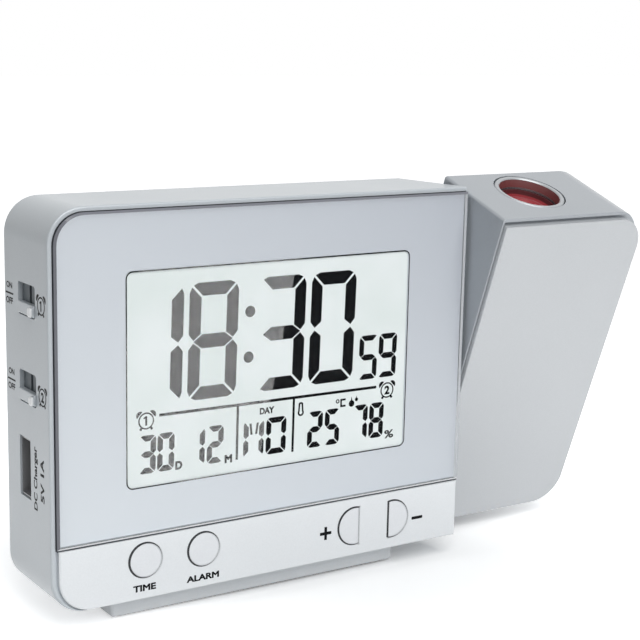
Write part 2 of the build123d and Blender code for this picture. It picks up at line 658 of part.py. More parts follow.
with BuildPart() as friction_spring:
    spring_x = clip_x + clip_thick + 0.1
    discs(side(spring_x), hinge_spot, 8.8, hub_inner_x - film - spring_x)
    discs(side(spring_x - 1), hinge_spot, tube_r + 0.2, 3, Mode.SUBTRACT)
friction_spring.part.label = "friction_spring"
export_step(friction_spring.part, "parts/friction_spring.step")

# ---------------------------------------------------------------- projector head
head_sink = 1.6              # depth of the head's screw recesses
head_boss = 2.0              # height of the bosses round them
with BuildPart() as head_shell:
    head_radii = [head_corner_left, head_corner_low, head_corner_high, head_corner_left]
    panel(tipped(front(head_back)), head_box, head_radii, head_back - rim_front)
    outline_edges = head_shell.edges().group_by(head_rearward)
    fillet(outline_edges[-1], edge_round)
    fillet(head_shell.edges().group_by(head_rearward)[0], head_round)
    cavity_radii = [1.0, head_corner_low - head_wall, head_corner_high - head_wall, 1.0]
    panel(tipped(front(head_inner_back)), head_cavity, cavity_radii, 30, Mode.SUBTRACT)
    recess_box = (head_left + head_rim_left, head_bottom, head_right + 1, head_top - head_rim)
    panel(tipped(front(head_seat)), recess_box, 0, 4, Mode.SUBTRACT)
    # bore for the hinge tube, hole for the focus ring
    discs(tipped(side(head_left - 1)), hinge_spot, tube_r + running, 6, Mode.SUBTRACT)
    discs(tipped(level(head_top - 5)), lens_spot, ring_hole_r, 8, Mode.SUBTRACT)
    # sunk screw holes in the back wall
    discs(tipped(front(head_inner_back)), head_screw_spots, 3.4, head_boss)
    discs(tipped(front(head_back + 1)), head_screw_spots, 1.6, 6, Mode.SUBTRACT)
    discs(tipped(front(head_back + 1)), head_screw_spots, 2.7, head_sink + 1, Mode.SUBTRACT)
head_shell.part.label = "head_shell"
export_step(head_shell.part, "parts/head_shell.step")

with BuildPart() as head_front:
    plate_radii = [0, plate_corner_low, plate_corner_high, 0]
    panel(tipped(front(head_seat)), plate_box, plate_radii, head_seat - window_front)
    chamfer(head_front.edges().group_by(head_rearward)[0], plate_bevel)
    post_end = head_inner_back - head_boss - ease
    discs(tipped(front(post_end)), head_screw_spots, head_post_r, post_end - head_seat)
    discs(tipped(front(post_end + 1)), head_screw_spots, head_pilot_r, 10, Mode.SUBTRACT)
head_front.part.label = "head_front"
export_step(head_front.part, "parts/head_front.step")

with BuildPart() as head_screws:
    screws(tipped(front(head_back - head_sink + film)), head_screw_spots, *head_screw)
head_screws.part.label = "head_screws"
export_step(head_screws.part, "parts/head_screws.step")

# ---------------------------------------------------------------- optics of the projector
barrel_top = head_cavity[3] - ease
barrel_step = 79.5
barrel_bottom = 58.0
with BuildPart() as lens_barrel:
    discs(tipped(level(barrel_step - 2)), lens_spot, skirt_r + 1.2, barrel_top - barrel_step + 2)
    discs(tipped(level(barrel_bottom)), lens_spot, 8.2, barrel_step - barrel_bottom)
    discs(tipped(level(barrel_step)), lens_spot, skirt_r + running, 20, Mode.SUBTRACT)
    discs(tipped(level(barrel_bottom - 1)), lens_spot, 6.2, 30, Mode.SUBTRACT)
lens_barrel.part.label = "lens_barrel"
export_step(lens_barrel.part, "parts/lens_barrel.step")

with BuildPart() as focus_ring:
    discs(tipped(level(barrel_step + 0.5)), lens_spot, skirt_r, head_top - barrel_step - 0.5)
    discs(tipped(level(head_cavity[3])), lens_spot, ring_r, head_top - head_cavity[3])
    discs(tipped(level(barrel_step)), lens_spot, ring_bore_r, 20, Mode.SUBTRACT)
    chamfer(focus_ring.edges().group_by(head_up)[-1], 0.25)
focus_ring.part.label = "focus_ring"
export_step(focus_ring.part, "parts/focus_ring.step")

cell_top = head_top - well_depth
with BuildPart() as lens_cell:
    discs(tipped(level(cell_top - 7.5)), lens_spot, ring_bore_r - running, 7.5)
    discs(tipped(level(cell_top - 8)), lens_spot, 5.9, 10, Mode.SUBTRACT)
    discs(tipped(level(cell_top - 2.6)), lens_spot, 6.95, 4, Mode.SUBTRACT)
lens_cell.part.label = "lens_cell"
export_step(lens_cell.part, "parts/lens_cell.step")

# Plano-convex lens: a disc whose front is part of a large sphere
lens_r, lens_curve = 6.9, 30.0
with BuildPart() as projection_lens:
    discs(tipped(level(cell_top - 2.58)), lens_spot, lens_r, 2.4)
    with Locations(tip * Location((lens_x, lens_y, cell_top - 0.2 - lens_curve))):
        Sphere(lens_curve, mode=Mode.INTERSECT)
projection_lens.part.label = "projection_lens"
export_step(projection_lens.part, "parts/projection_lens.step")

with BuildPart() as condenser_lens:
    discs(tipped(level(62.5)), lens_spot, 6.15, 3.0)
    fillet(condenser_lens.edges().group_by(head_up)[-1], 1.8)
condenser_lens.part.label = "condenser_lens"
export_step(condenser_lens.part, "parts/condenser_lens.step")

with BuildPart() as projection_lcd:
    blocks(tipped(level(68.5)), lens_spot, 9.0, 7.6, 1.2)
projection_lcd.part.label = "projection_lcd"
export_step(projection_lcd.part, "parts/projection_lcd.step")

board_top = barrel_bottom - film
with BuildPart() as led_board:
    discs(tipped(level(board_top - 1.6)), lens_spot, 7.8, 1.6)
led_board.part.label = "led_board"
export_step(led_board.part, "parts/led_board.step")

with BuildPart() as projection_led:
    discs(tipped(level(board_top + film)), lens_spot, 2.5, 3.5)
    fillet(projection_led.edges().group_by(head_up)[-1], 2.2)
projection_led.part.label = "projection_led"
export_step(projection_led.part, "parts/projection_led.step")

with BuildPart() as led_heat_sink:
    sink_top = board_top - 1.6 - film
    blocks(tipped(level(sink_top - 1.2)), lens_spot, 12.0, 12.0, 1.2)
    fin_spots = [(lens_x - 5.5 + 2.2 * k, lens_y) for k in range(6)]
    blocks(tipped(level(sink_top - 4.0)), fin_spots, 0.9, 12.0, 3.0)
led_heat_sink.part.label = "led_heat_sink"
export_step(led_heat_sink.part, "parts/led_heat_sink.step")

# ---------------------------------------------------------------- leads through the hinge tube
lead_r = 1.2
split_x = clip_x + 0.6
board_lead_end = board_back + lead_r + 1.6
with BuildPart() as head_lead:
    lead_turn = head_cavity[0] + 5.0
    lead_z = board_top - 1.4
    with BuildLine() as head_route:
        FilletPolyline((split_x + 0.1, hinge_y, hinge_z), (lead_turn, hinge_y, hinge_z),
                       (lead_turn, hinge_y, lead_z), (lens_x - 7.95, hinge_y, lead_z),
                       radius=[2.6, 1.5])
    head_path = tip * head_route.line
    with BuildSketch(side(split_x + 0.1)) as head_lead_section:
        with Locations(*hinge_spot):
            Circle(lead_r)
    sweep(head_lead_section.sketch, path=head_path)
head_lead.part.label = "head_lead"
export_step(head_lead.part, "parts/head_lead.step")

with BuildPart() as board_lead:
    with BuildLine() as board_route:
        FilletPolyline((split_x - 0.1, hinge_y, hinge_z), (36.0, hinge_y, hinge_z),
                       (36.0, board_back + 0.02, hinge_z), radius=1.4)
    with BuildSketch(side(split_x - 0.1)) as board_lead_section:
        with Locations(*hinge_spot):
            Circle(lead_r)
    sweep(board_lead_section.sketch, path=board_route.line)
board_lead.part.label = "board_lead"
export_step(board_lead.part, "parts/board_lead.step")
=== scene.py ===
"""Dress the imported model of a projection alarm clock: finishes, window, display, lettering and stage."""
import json
import math

import bpy
from bpy.props import FloatProperty, FloatVectorProperty, PointerProperty, StringProperty
from mathutils import Euler, Matrix, Vector

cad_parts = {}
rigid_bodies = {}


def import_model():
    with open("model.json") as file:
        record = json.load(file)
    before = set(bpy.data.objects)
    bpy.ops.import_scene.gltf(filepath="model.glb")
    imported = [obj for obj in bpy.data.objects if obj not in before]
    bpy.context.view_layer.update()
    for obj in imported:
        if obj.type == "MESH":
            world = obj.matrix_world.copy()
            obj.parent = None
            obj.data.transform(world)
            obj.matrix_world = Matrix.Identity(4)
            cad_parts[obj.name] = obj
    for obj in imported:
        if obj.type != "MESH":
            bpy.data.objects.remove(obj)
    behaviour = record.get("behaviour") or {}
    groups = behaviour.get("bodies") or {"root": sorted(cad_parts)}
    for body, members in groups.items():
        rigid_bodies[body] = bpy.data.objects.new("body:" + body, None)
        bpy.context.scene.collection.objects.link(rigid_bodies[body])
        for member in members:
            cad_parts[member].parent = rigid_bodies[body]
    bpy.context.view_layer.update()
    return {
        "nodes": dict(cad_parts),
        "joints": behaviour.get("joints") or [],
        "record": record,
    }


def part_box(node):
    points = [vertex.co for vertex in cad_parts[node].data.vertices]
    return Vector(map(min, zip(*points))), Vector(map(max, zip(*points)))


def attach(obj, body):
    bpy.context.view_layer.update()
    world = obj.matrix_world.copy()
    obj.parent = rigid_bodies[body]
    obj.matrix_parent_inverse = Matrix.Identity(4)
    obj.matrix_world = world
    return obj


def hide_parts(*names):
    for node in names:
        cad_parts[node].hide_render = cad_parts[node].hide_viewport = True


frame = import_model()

bl_info = {
    "name": "Projection Alarm Clock",
    "version": (1, 0, 0),
    "blender": (4, 5, 0),
    "location": "View3D > Sidebar > Clock",
    "description": "Finishes, window, display and lettering of a projection alarm clock",
    "category": "Object",
}

MM = 0.001
INK = 0.02 * MM            # depth of print on a face
EMBOSSED = 0.1 * MM        # height of a finish's grain
GRAIN_SPAN = (0.3, 0.7)    # the noise's values between which a finish changes
COLOUR = {"subtype": "COLOR", "min": 0, "max": 1}

# Facings: a flat piece is drawn in its own X and Y and looks along its own +Z.
FACING_FRONT = Euler((math.radians(90), 0, 0))
FACING_LEFT = Euler((math.radians(90), 0, math.radians(-90)))


# ---------------------------------------------------------------- bench tools

def put_down():
    """Leave nothing selected, so that the next operator acts on its own piece alone."""
    if bpy.context.object and bpy.context.object.mode != "OBJECT":
        bpy.ops.object.mode_set(mode="OBJECT")
    bpy.ops.object.select_all(action="DESELECT")


def pick(*objs):
    put_down()
    for obj in objs:
        obj.select_set(True)
    bpy.context.view_layer.objects.active = objs[0]


def settle(obj, name=None):
    """Put a piece's place, turn and scale into its mesh, and name it."""
    pick(obj)
    bpy.ops.object.transform_apply(location=True, rotation=True, scale=True)
    if name:
        obj.name = obj.data.name = name
    return obj


def edit(obj):
    """Open a piece in edit mode with all of it selected."""
    pick(obj)
    bpy.ops.object.mode_set(mode="EDIT")
    bpy.ops.mesh.select_all(action="SELECT")


def close():
    bpy.ops.object.mode_set(mode="OBJECT")


def select(obj, kind, wanted):
    """In edit mode, select only the vertices, by place, or the faces, by normal, that are wanted."""
    bpy.ops.mesh.select_all(action="DESELECT")
    bpy.ops.mesh.select_mode(type=kind)
    close()
    for part in obj.data.vertices if kind == "VERT" else obj.data.polygons:
        part.select = wanted(part.co if kind == "VERT" else part.normal)
    bpy.ops.object.mode_set(mode="EDIT")


def pull(obj, wanted, by):
    """Move only those vertices of a piece whose place is wanted."""
    edit(obj)
    select(obj, "VERT", wanted)
    bpy.ops.transform.translate(value=by)
    close()
    return obj


def thicken(obj, depth):
    """Give a flat piece a closed back, behind the face it shows."""
    pick(obj)
    wall = obj.modifiers.new("Wall", "SOLIDIFY")
    wall.thickness = depth
    wall.offset = -1.0
    bpy.ops.object.modifier_apply(modifier=wall.name)
    return obj


def flat(width, height):
    """A rectangle about the origin, in X and Y."""
    put_down()
    bpy.ops.mesh.primitive_plane_add(size=1)
    obj = bpy.context.object
    obj.scale = (width, height, 1)
    return settle(obj, "sheet")


def disc(radius, points=32):
    put_down()
    bpy.ops.mesh.primitive_circle_add(vertices=points, radius=radius, fill_type="NGON")
    return settle(bpy.context.object, "disc")


def trim(obj, p, q, inside):
    """Cut a flat piece along the line from p to q and keep the side that holds the point inside."""
    normal = Vector((q[1] - p[1], p[0] - q[0], 0)).normalized()
    if normal.dot(Vector((inside[0] - p[0], inside[1] - p[1], 0))) > 0:
        normal = -normal
    cut_away(obj, (p[0], p[1], 0), normal)


def cut_away(obj, spot, normal):
    """Cut off what lies beyond the plane through spot, on the side to which its normal points."""
    edit(obj)
    bpy.ops.mesh.bisect(plane_co=spot, plane_no=normal, clear_outer=True, threshold=1e-7)
    close()


def cut_out(corners):
    """A flat convex piece cut from a rectangle along each side of its outline."""
    xs = [x for x, _ in corners]
    ys = [y for _, y in corners]
    obj = flat(max(xs) - min(xs), max(ys) - min(ys))
    move(obj, ((max(xs) + min(xs)) / 2, (max(ys) + min(ys)) / 2, 0))
    centre = (sum(xs) / len(xs), sum(ys) / len(ys))
    for p, q in zip(corners, corners[1:] + corners[:1]):
        upright = abs(p[0] - q[0]) < 1e-9 or abs(p[1] - q[1]) < 1e-9
        if not upright:
            trim(obj, p, q, centre)
    return obj


def hollow(obj, width):
    """Leave only a rim of the given width of a flat piece."""
    edit(obj)
    bpy.ops.mesh.select_mode(type="FACE")
    bpy.ops.mesh.select_all(action="SELECT")
    bpy.ops.mesh.inset(thickness=width)
    bpy.ops.mesh.delete(type="FACE")
    close()
    return obj


def round_corners(obj, radius, wanted=lambda place: True, segments=6):
    edit(obj)
    select(obj, "VERT", wanted)
    bpy.ops.mesh.bevel(offset=radius, offset_type="OFFSET", segments=segments, affect="VERTICES")
    close()


def move(obj, by):
    pick(obj)
    bpy.ops.transform.translate(value=by)
    return settle(obj)


def place(obj, centre, facing):
    """Turn a flat piece to its facing and set the origin of its drawing at centre."""
    obj.rotation_euler = facing
    obj.location = centre
    return settle(obj)


def copy_of(obj, by=(0, 0, 0)):
    pick(obj)
    bpy.ops.object.duplicate(linked=False)
    twin = bpy.context.object
    bpy.ops.transform.translate(value=by)
    return settle(twin)


def join(pieces, name):
    pick(*pieces)
    if len(pieces) > 1:
        bpy.ops.object.join()
    return settle(bpy.context.object, name)


def lettering(words, width, height, weight):
    """Plain sans letters as closed solids, drawn to a width and height about the origin."""
    put_down()
    bpy.ops.object.text_add()
    text = bpy.context.object
    text.data.body = words
    text.data.bevel_depth = weight
    text.data.bevel_resolution = 0
    text.data.resolution_u = 5
    text.data.fill_mode = "BOTH"
    bpy.ops.object.convert(target="MESH")
    letters = bpy.context.object
    edit(letters)
    bpy.ops.mesh.remove_doubles(threshold=1e-5)
    close()
    xs = [vertex.co.x for vertex in letters.data.vertices]
    ys = [vertex.co.y for vertex in letters.data.vertices]
    left, right, bottom, top = min(xs), max(xs), min(ys), max(ys)
    move(letters, (-(left + right) / 2, -(bottom + top) / 2, -weight))
    letters.scale = (width / (right - left), height / (top - bottom), INK / (2 * weight))
    return settle(letters, "letters")


def dress(obj, finish, body):
    """Give a new piece its finish, and let it ride with the body it is on."""
    obj.data.materials.clear()
    obj.data.materials.append(finish)
    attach(obj, body)


def print_on(name, finish, slot, face, facing, shapes=(), letters=()):
    """Lay flat shapes and letters on a face of the case, as one thin piece of print."""
    parts = list(letters)
    if shapes:
        parts.append(thicken(join(list(shapes), name), INK))
    dress(place(join(parts, name), face, facing), finish, "case")


# ---------------------------------------------------------------- places taken from the frame

def low(node):
    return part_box(node)[0]


def high(node):
    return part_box(node)[1]


# ---------------------------------------------------------------- shader nodes

def feed(socket, value):
    """Give an input a plain value, or link it to another node's output."""
    if isinstance(value, bpy.types.NodeSocket):
        socket.id_data.links.new(value, socket)
    else:
        socket.default_value = value


def add_node(tree, kind, inputs, **settings):
    node = tree.nodes.new("ShaderNode" + kind)
    for key, value in settings.items():
        setattr(node, key, value)
    for key, value in inputs.items():
        feed(node.inputs[key], value)
    return node


def object_places(tree):
    return add_node(tree, "TexCoord", {}).outputs["Object"]


def ramp(tree, value, span, ends, **settings):
    """Pass from the first of two ends to the last while a value passes over its span."""
    inputs = {"Value": value, "From Min": span[0], "From Max": span[1],
              "To Min": ends[0], "To Max": ends[1]}
    return add_node(tree, "MapRange", inputs, **settings).outputs["Result"]


def grain(skin, scale, detail=2.0):
    """Noise that is fixed to the piece, at so many grains to the metre."""
    tree = skin.id_data
    inputs = {"Vector": object_places(tree), "Scale": scale, "Detail": detail}
    return add_node(tree, "TexNoise", inputs).outputs["Fac"]


def mix_colours(skin, share, first, last):
    mix = add_node(skin.id_data, "Mix", {"Factor": share, "A": (*first, 1), "B": (*last, 1)},
                   data_type="RGBA")
    feed(skin.inputs["Base Color"], mix.outputs["Result"])


def tint(skin, factor, colour, spread):
    """Let the colour wander a little lighter and darker with the grain."""
    darker = [c * (1 - spread) for c in colour]
    lighter = [min(1, c * (1 + spread)) for c in colour]
    mix_colours(skin, ramp(skin.id_data, factor, GRAIN_SPAN, (0, 1)), darker, lighter)


def fade(skin, start, end, first, last):
    """Let the colour pass from first to last between two places on the piece."""
    tree = skin.id_data
    run = Vector(end) - Vector(start)
    along = add_node(tree, "VectorMath", {0: object_places(tree), 1: run / run.length_squared},
                     operation="DOT_PRODUCT")
    span = [Vector(spot).dot(run) / run.length_squared for spot in (start, end)]
    mix_colours(skin, ramp(tree, along.outputs["Value"], span, (0, 1)), first, last)


def roughen(skin, factor, roughness, spread):
    """Let the polish vary with the grain."""
    ends = (roughness - spread, roughness + spread)
    feed(skin.inputs["Roughness"], ramp(skin.id_data, factor, GRAIN_SPAN, ends))


def emboss(skin, factor, strength):
    bump = add_node(skin.id_data, "Bump",
                    {"Height": factor, "Strength": strength, "Distance": EMBOSSED})
    feed(skin.inputs["Normal"], bump.outputs["Normal"])


# ---------------------------------------------------------------- finishes

def new_finish(name, colour, roughness, metallic=0.0, **sockets):
    finish = bpy.data.materials.new(name)
    finish.use_nodes = True
    skin = finish.node_tree.nodes["Principled BSDF"]
    skin.inputs["Base Color"].default_value = (*colour, 1)
    skin.inputs["Roughness"].default_value = roughness
    skin.inputs["Metallic"].default_value = metallic
    for key, value in sockets.items():
        skin.inputs[key.replace("_", " ")].default_value = value
    return finish, skin


def satin_silver(name, colour, roughness=0.42, metallic=0.2, coat=0.65):
    """Silver paint with fine flakes under a thin clear coat with a faint orange peel."""
    finish, skin = new_finish(name, colour, roughness, metallic, Coat_Weight=coat,
                              Coat_Roughness=0.22)
    tint(skin, grain(skin, 2600, 3), colour, 0.018)
    roughen(skin, grain(skin, 45), roughness, 0.04)
    emboss(skin, grain(skin, 900), 0.02)
    return finish


def slider_silver(name, look):
    """The case's paint, with a painted highlight that makes the nub paler."""
    finish = satin_silver(name, look.case_silver, metallic=0.1)
    wall = low("case_shell")[0]
    # Painted highlight: beyond the wall the paint passes to the paler tone of the nub.
    fade(finish.node_tree.nodes["Principled BSDF"], (wall - 0.4 * MM, 0, 0),
         (wall - 0.8 * MM, 0, 0), look.case_silver, look.nub_highlight_silver)
    return finish


def moulded(name, colour, roughness, texture=1400, depth=0.08, **sockets):
    """Plastic or rubber with the fine texture of its mould."""
    finish, skin = new_finish(name, colour, roughness, **sockets)
    tint(skin, grain(skin, 60), colour, 0.05)
    emboss(skin, grain(skin, texture), depth)
    return finish


def metal(name, colour, roughness, metallic=1.0):
    """Bare or plated metal with fine uneven polish."""
    finish, skin = new_finish(name, colour, roughness, metallic)
    roughen(skin, grain(skin, 700, 4), roughness, 0.1)
    tint(skin, grain(skin, 90), colour, 0.05)
    return finish


def mask_print(name, look):
    """Matt silver ink behind the window, with a painted reflection that makes it lighter towards its lower
    left corner.
    """
    finish, skin = new_finish(name, look.mask_reflected_silver, 0.55, Specular_IOR_Level=0.2)
    (left, _, bottom), (right, _, top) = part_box("window_mask")
    across, up = 0.56, 1.39        # where the fade ends, in widths and heights of the mask
    far = (left + across * (right - left), 0, bottom + up * (top - bottom))
    # Painted reflection: lighter at the lower left, darker at the upper right.
    fade(skin, (left, 0, bottom), far, look.mask_reflected_silver, look.mask_far)
    emboss(skin, grain(skin, 900), 0.03)
    return finish


def display_black(name, colour):
    """The figures of the display, as smooth as the glass that they stand behind."""
    finish, skin = new_finish(name, colour, 0.02, Specular_IOR_Level=0.03)
    tint(skin, grain(skin, 60), colour, 0.05)
    return finish


def circuit_board(name, colour):
    """Solder resist over faint copper tracks."""
    finish, skin = new_finish(name, colour, 0.35)
    tree = skin.id_data
    tracks = add_node(tree, "TexVoronoi", {"Vector": object_places(tree), "Scale": 420},
                      distance="MANHATTAN")
    tint(skin, tracks.outputs["Distance"], colour, 0.3)
    return finish


def clear_sheet(name, gloss, roughness):
    """A clear sheet, of which only a small share, its gloss, shows its own surface."""
    finish = bpy.data.materials.new(name)
    finish.use_nodes = True
    tree = finish.node_tree
    tree.nodes.clear()
    clear = add_node(tree, "BsdfTransparent", {})
    skin = add_node(tree, "BsdfGlossy", {"Color": (1, 1, 1, 1), "Roughness": roughness})
    mix = add_node(tree, "MixShader", {"Fac": gloss, 1: clear.outputs[0], 2: skin.outputs[0]})
    add_node(tree, "OutputMaterial", {"Surface": mix.outputs[0]})
    return finish


def all_finishes(look):
    """Every finish of the clock, by the record's slot names and a few more for the new pieces."""
    return {
        "silver_shell": satin_silver("silver_shell", look.case_silver, metallic=0.1, coat=0.5),
        "silver_slider": slider_silver("silver_slider", look),
        "silver_panel": satin_silver("silver_panel", look.panel_silver, 0.38),
        "silver_plate": satin_silver("silver_plate", look.plate_silver, 0.38),
        "silver_key": satin_silver("silver_key", look.key_silver, 0.36),
        "silver_stand": satin_silver("silver_stand", look.stand_silver, 0.45, 0.1),
        "silver_mask": mask_print("silver_mask", look),
        # painted shade: a darker copy of the silver for the head's shell
        "silver_head": satin_silver("silver_head", look.head_shaded_silver),
        "silver_ring": satin_silver("silver_ring", look.ring_silver, 0.35, 0.4),
        "display_glass": moulded("display_glass", look.display_tint, 0.16, 300, 0.01,
                                 Specular_IOR_Level=0.25),
        "display_black": display_black("display_black", look.print_black),
        "black_print": moulded("black_print", look.print_black, 0.45, Specular_IOR_Level=0.1),
        "white_plastic": moulded("white_plastic", (0.78, 0.78, 0.76), 0.5),
        "black_plastic": moulded("black_plastic", (0.02, 0.021, 0.023), 0.42),
        "dark_plastic": moulded("dark_plastic", look.guide_grey, 0.5),
        "black_resin": moulded("black_resin", (0.015, 0.015, 0.016), 0.35),
        "diffuser": moulded("diffuser", (0.86, 0.89, 0.89), 0.3),
        "black_rubber": moulded("black_rubber", (0.02, 0.02, 0.021), 0.75),
        "grey_rubber": moulded("grey_rubber", (0.4, 0.41, 0.42), 0.7),
        "cell_wrap": moulded("cell_wrap", (0.1, 0.11, 0.13), 0.25),
        "steel": metal("steel", (0.6, 0.6, 0.6), 0.35),
        "socket_steel": metal("socket_steel", (0.30, 0.30, 0.31), 0.42, 0.5),
        "gold_contact": metal("gold_contact", (0.83, 0.62, 0.26), 0.25),
        "copper_foil": metal("copper_foil", (0.75, 0.42, 0.27), 0.35),
        "bare_aluminium": metal("bare_aluminium", (0.72, 0.73, 0.74), 0.4),
        "green_board": circuit_board("green_board", (0.03, 0.17, 0.07)),
        # painted glow: the lens itself gives off the faint red light of the lamp behind it
        "red_lens": moulded("red_lens", look.lens_red, 0.06, 200, 0.01, Coat_Weight=1.0,
                            Coat_Roughness=0.02, Emission_Color=(*look.lens_glow, 1),
                            Emission_Strength=1.0),
        "red_cell": moulded("red_cell", (0.10, 0.022, 0.025), 0.45),
        "clear_lens": moulded("clear_lens", (0.85, 0.87, 0.88), 0.05, 200, 0.01),
        "red_lamp": moulded("red_lamp", (0.5, 0.03, 0.025), 0.2),
    }


def finish_named(name):
    finish = bpy.data.materials.get(name)
    if finish is None:
        raise RuntimeError(f"no finish called {name}: mix the finishes first")
    return finish


# ---------------------------------------------------------------- sizes and colours

class FinishLook(bpy.types.PropertyGroup):
    """Colours of the clock's finishes."""
    case_silver: FloatVectorProperty(
        name="Case silver", description="Satin paint of the case",
        default=(0.545, 0.583, 0.615), **COLOUR)
    # Painted shade: the head's shell gets a darker copy of the case's silver.
    head_shaded_silver: FloatVectorProperty(
        name="Head silver", description="Darker paint of the projector head's shell",
        default=(0.405, 0.432, 0.462), **COLOUR)
    panel_silver: FloatVectorProperty(
        name="Panel silver", description="Paint of the button strip",
        default=(0.77, 0.79, 0.81), **COLOUR)
    plate_silver: FloatVectorProperty(
        name="Plate silver", description="Paint of the head's front plate",
        default=(0.575, 0.592, 0.612), **COLOUR)
    key_silver: FloatVectorProperty(
        name="Key silver", description="Paint of the keys",
        default=(0.76, 0.775, 0.80), **COLOUR)
    # Paler tone of the sliders' nubs: a painted highlight.
    nub_highlight_silver: FloatVectorProperty(
        name="Nub silver", description="Worn paint of the sliders' nubs",
        default=(0.92, 0.93, 0.94), **COLOUR)
    stand_silver: FloatVectorProperty(
        name="Stand silver", description="Paint of the stand",
        default=(0.66, 0.68, 0.70), **COLOUR)
    # The mask's two tones carry a painted reflection: lighter at the lower left, darker at the upper
    # right.
    mask_reflected_silver: FloatVectorProperty(
        name="Mask silver", description="Print behind the window, at its lower left corner",
        default=(0.84, 0.88, 0.92), **COLOUR)
    mask_far: FloatVectorProperty(
        name="Mask silver, far corner", description="Print behind the window, at its upper right",
        default=(0.585, 0.615, 0.67), **COLOUR)
    ring_silver: FloatVectorProperty(
        name="Ring silver", description="Paint of the focus ring",
        default=(0.42, 0.44, 0.46), **COLOUR)
    display_tint: FloatVectorProperty(
        name="Display tint", description="Pale ground of the display",
        default=(0.91, 0.98, 0.96), **COLOUR)
    guide_grey: FloatVectorProperty(
        name="Guide grey", description="Plates behind the alarm switches",
        default=(0.12, 0.14, 0.155), **COLOUR)
    print_black: FloatVectorProperty(
        name="Print black", description="Digits and lettering",
        default=(0.003, 0.0035, 0.0045), **COLOUR)
    lens_red: FloatVectorProperty(
        name="Lens red", description="Tint of the projector's lens",
        default=(0.20, 0.022, 0.028), **COLOUR)
    # Painted glow: the lens itself gives off the faint red light of the lamp behind it.
    lens_glow: FloatVectorProperty(
        name="Lens glow", description="Faint light of the red lamp behind the lens",
        default=(0.20, 0.022, 0.026), **COLOUR)


class DisplayLook(bpy.types.PropertyGroup):
    """What the display shows, and the size of its figures."""
    hours: StringProperty(name="Hours", description="Hours on the display", default="18")
    minutes: StringProperty(name="Minutes", description="Minutes on the display", default="30")
    seconds: StringProperty(name="Seconds", description="Seconds on the display", default="59")
    figure_height: FloatProperty(
        name="Figure height", description="Height of the time's figures",
        unit="LENGTH", default=26.4 * MM)
    figure_width: FloatProperty(
        name="Figure width", description="Width of the time's figures",
        unit="LENGTH", default=12.4 * MM)
    figure_stroke: FloatProperty(
        name="Figure stroke", description="Width of the bars of the time's figures",
        unit="LENGTH", default=3.15 * MM)
    small_height: FloatProperty(
        name="Small figure height", description="Height of the lower row's figures",
        unit="LENGTH", default=8.7 * MM)
    small_width: FloatProperty(
        name="Small figure width", description="Width of the lower row's figures",
        unit="LENGTH", default=4.2 * MM)
    small_stroke: FloatProperty(
        name="Small figure stroke", description="Width of the small figures' bars",
        unit="LENGTH", default=1.42 * MM)
    lean: FloatProperty(
        name="Lean", description="How far the figures lean to the right for each unit of height",
        default=0.0265)


class StageLook(bpy.types.PropertyGroup):
    """Camera, lamps and floor."""
    camera_azimuth: FloatProperty(
        name="Camera azimuth", description="Direction that the camera looks, from straight ahead",
        subtype="ANGLE", default=math.radians(-33.271))
    camera_drop: FloatProperty(
        name="Camera drop", description="How steeply the camera looks down",
        subtype="ANGLE", default=math.radians(11.077))
    camera_roll: FloatProperty(
        name="Camera roll", description="Turn of the camera about its own axis",
        subtype="ANGLE", default=math.radians(1.213))
    camera_place: FloatVectorProperty(
        name="Camera place", description="Where the camera stands",
        subtype="TRANSLATION", unit="LENGTH", default=(-0.174264, -0.310147, 0.131110))
    lens_length: FloatProperty(
        name="Lens length", description="Focal length of the camera in millimetres",
        default=84.70)
    key_power: FloatProperty(
        name="Key lamp power", description="Power of the large soft lamp in front",
        unit="POWER", default=3.7)
    key_size: FloatProperty(
        name="Key lamp size", description="Width and height of the large soft lamp",
        unit="LENGTH", default=0.6)
    key_distance: FloatProperty(
        name="Key lamp distance", description="How far the large lamp stands from the clock",
        unit="LENGTH", default=0.7)
    key_azimuth: FloatProperty(
        name="Key lamp azimuth", description="Where the large lamp stands, from straight in front",
        subtype="ANGLE", default=math.radians(-5))
    key_elevation: FloatProperty(
        name="Key lamp elevation", description="How high the large lamp stands",
        subtype="ANGLE", default=math.radians(48))
    room_light: FloatProperty(
        name="Room light", description="Strength of the even light all round", default=0.45)
    room_left: FloatProperty(
        name="Room light from the left", description="Share of the room light left at that side",
        default=0.05)
    room_colour: FloatVectorProperty(
        name="Room colour", description="Colour of the light all round",
        default=(0.86, 0.94, 1.0), **COLOUR)
    floor_near: FloatProperty(
        name="Floor tone", description="How pale the floor is near the clock", default=0.95)
    floor_far: FloatProperty(
        name="Floor tone far off", description="How pale the floor is half a metre away",
        default=0.4)
    floor_glow: FloatProperty(
        name="Floor glow", description="What the floor adds to its own light near the clock",
        default=0.15)
    shade_centre: FloatVectorProperty(
        name="Shade centre", description="Where the floor adds least, beside the stand",
        subtype="TRANSLATION", unit="LENGTH", default=(0.03, -0.005, 0))
    glare_power: FloatProperty(
        name="Glare power", description="Power of the panel that the display mirrors",
        unit="POWER", default=0.8)


# ---------------------------------------------------------------- operators

class CLOCK_OT_finishes(bpy.types.Operator):
    """Mix the finishes and give each part of the clock its own"""
    bl_idname = "clock.finishes"
    bl_label = "Finish the Parts"

    def execute(self, context):
        finishes = all_finishes(context.scene.clock_finish)
        slots = {row["node"]: row["material_slot"] for row in frame["record"]["subparts"]}
        slots.update(head_shell="silver_head", head_front="silver_plate", lens_cell="red_cell",
                     alarm_1_slider="silver_slider", alarm_2_slider="silver_slider")
        for node, obj in frame["nodes"].items():
            finish = finishes.get(slots[node])
            if finish:
                obj.data.materials.clear()
                obj.data.materials.append(finish)
        return {"FINISHED"}


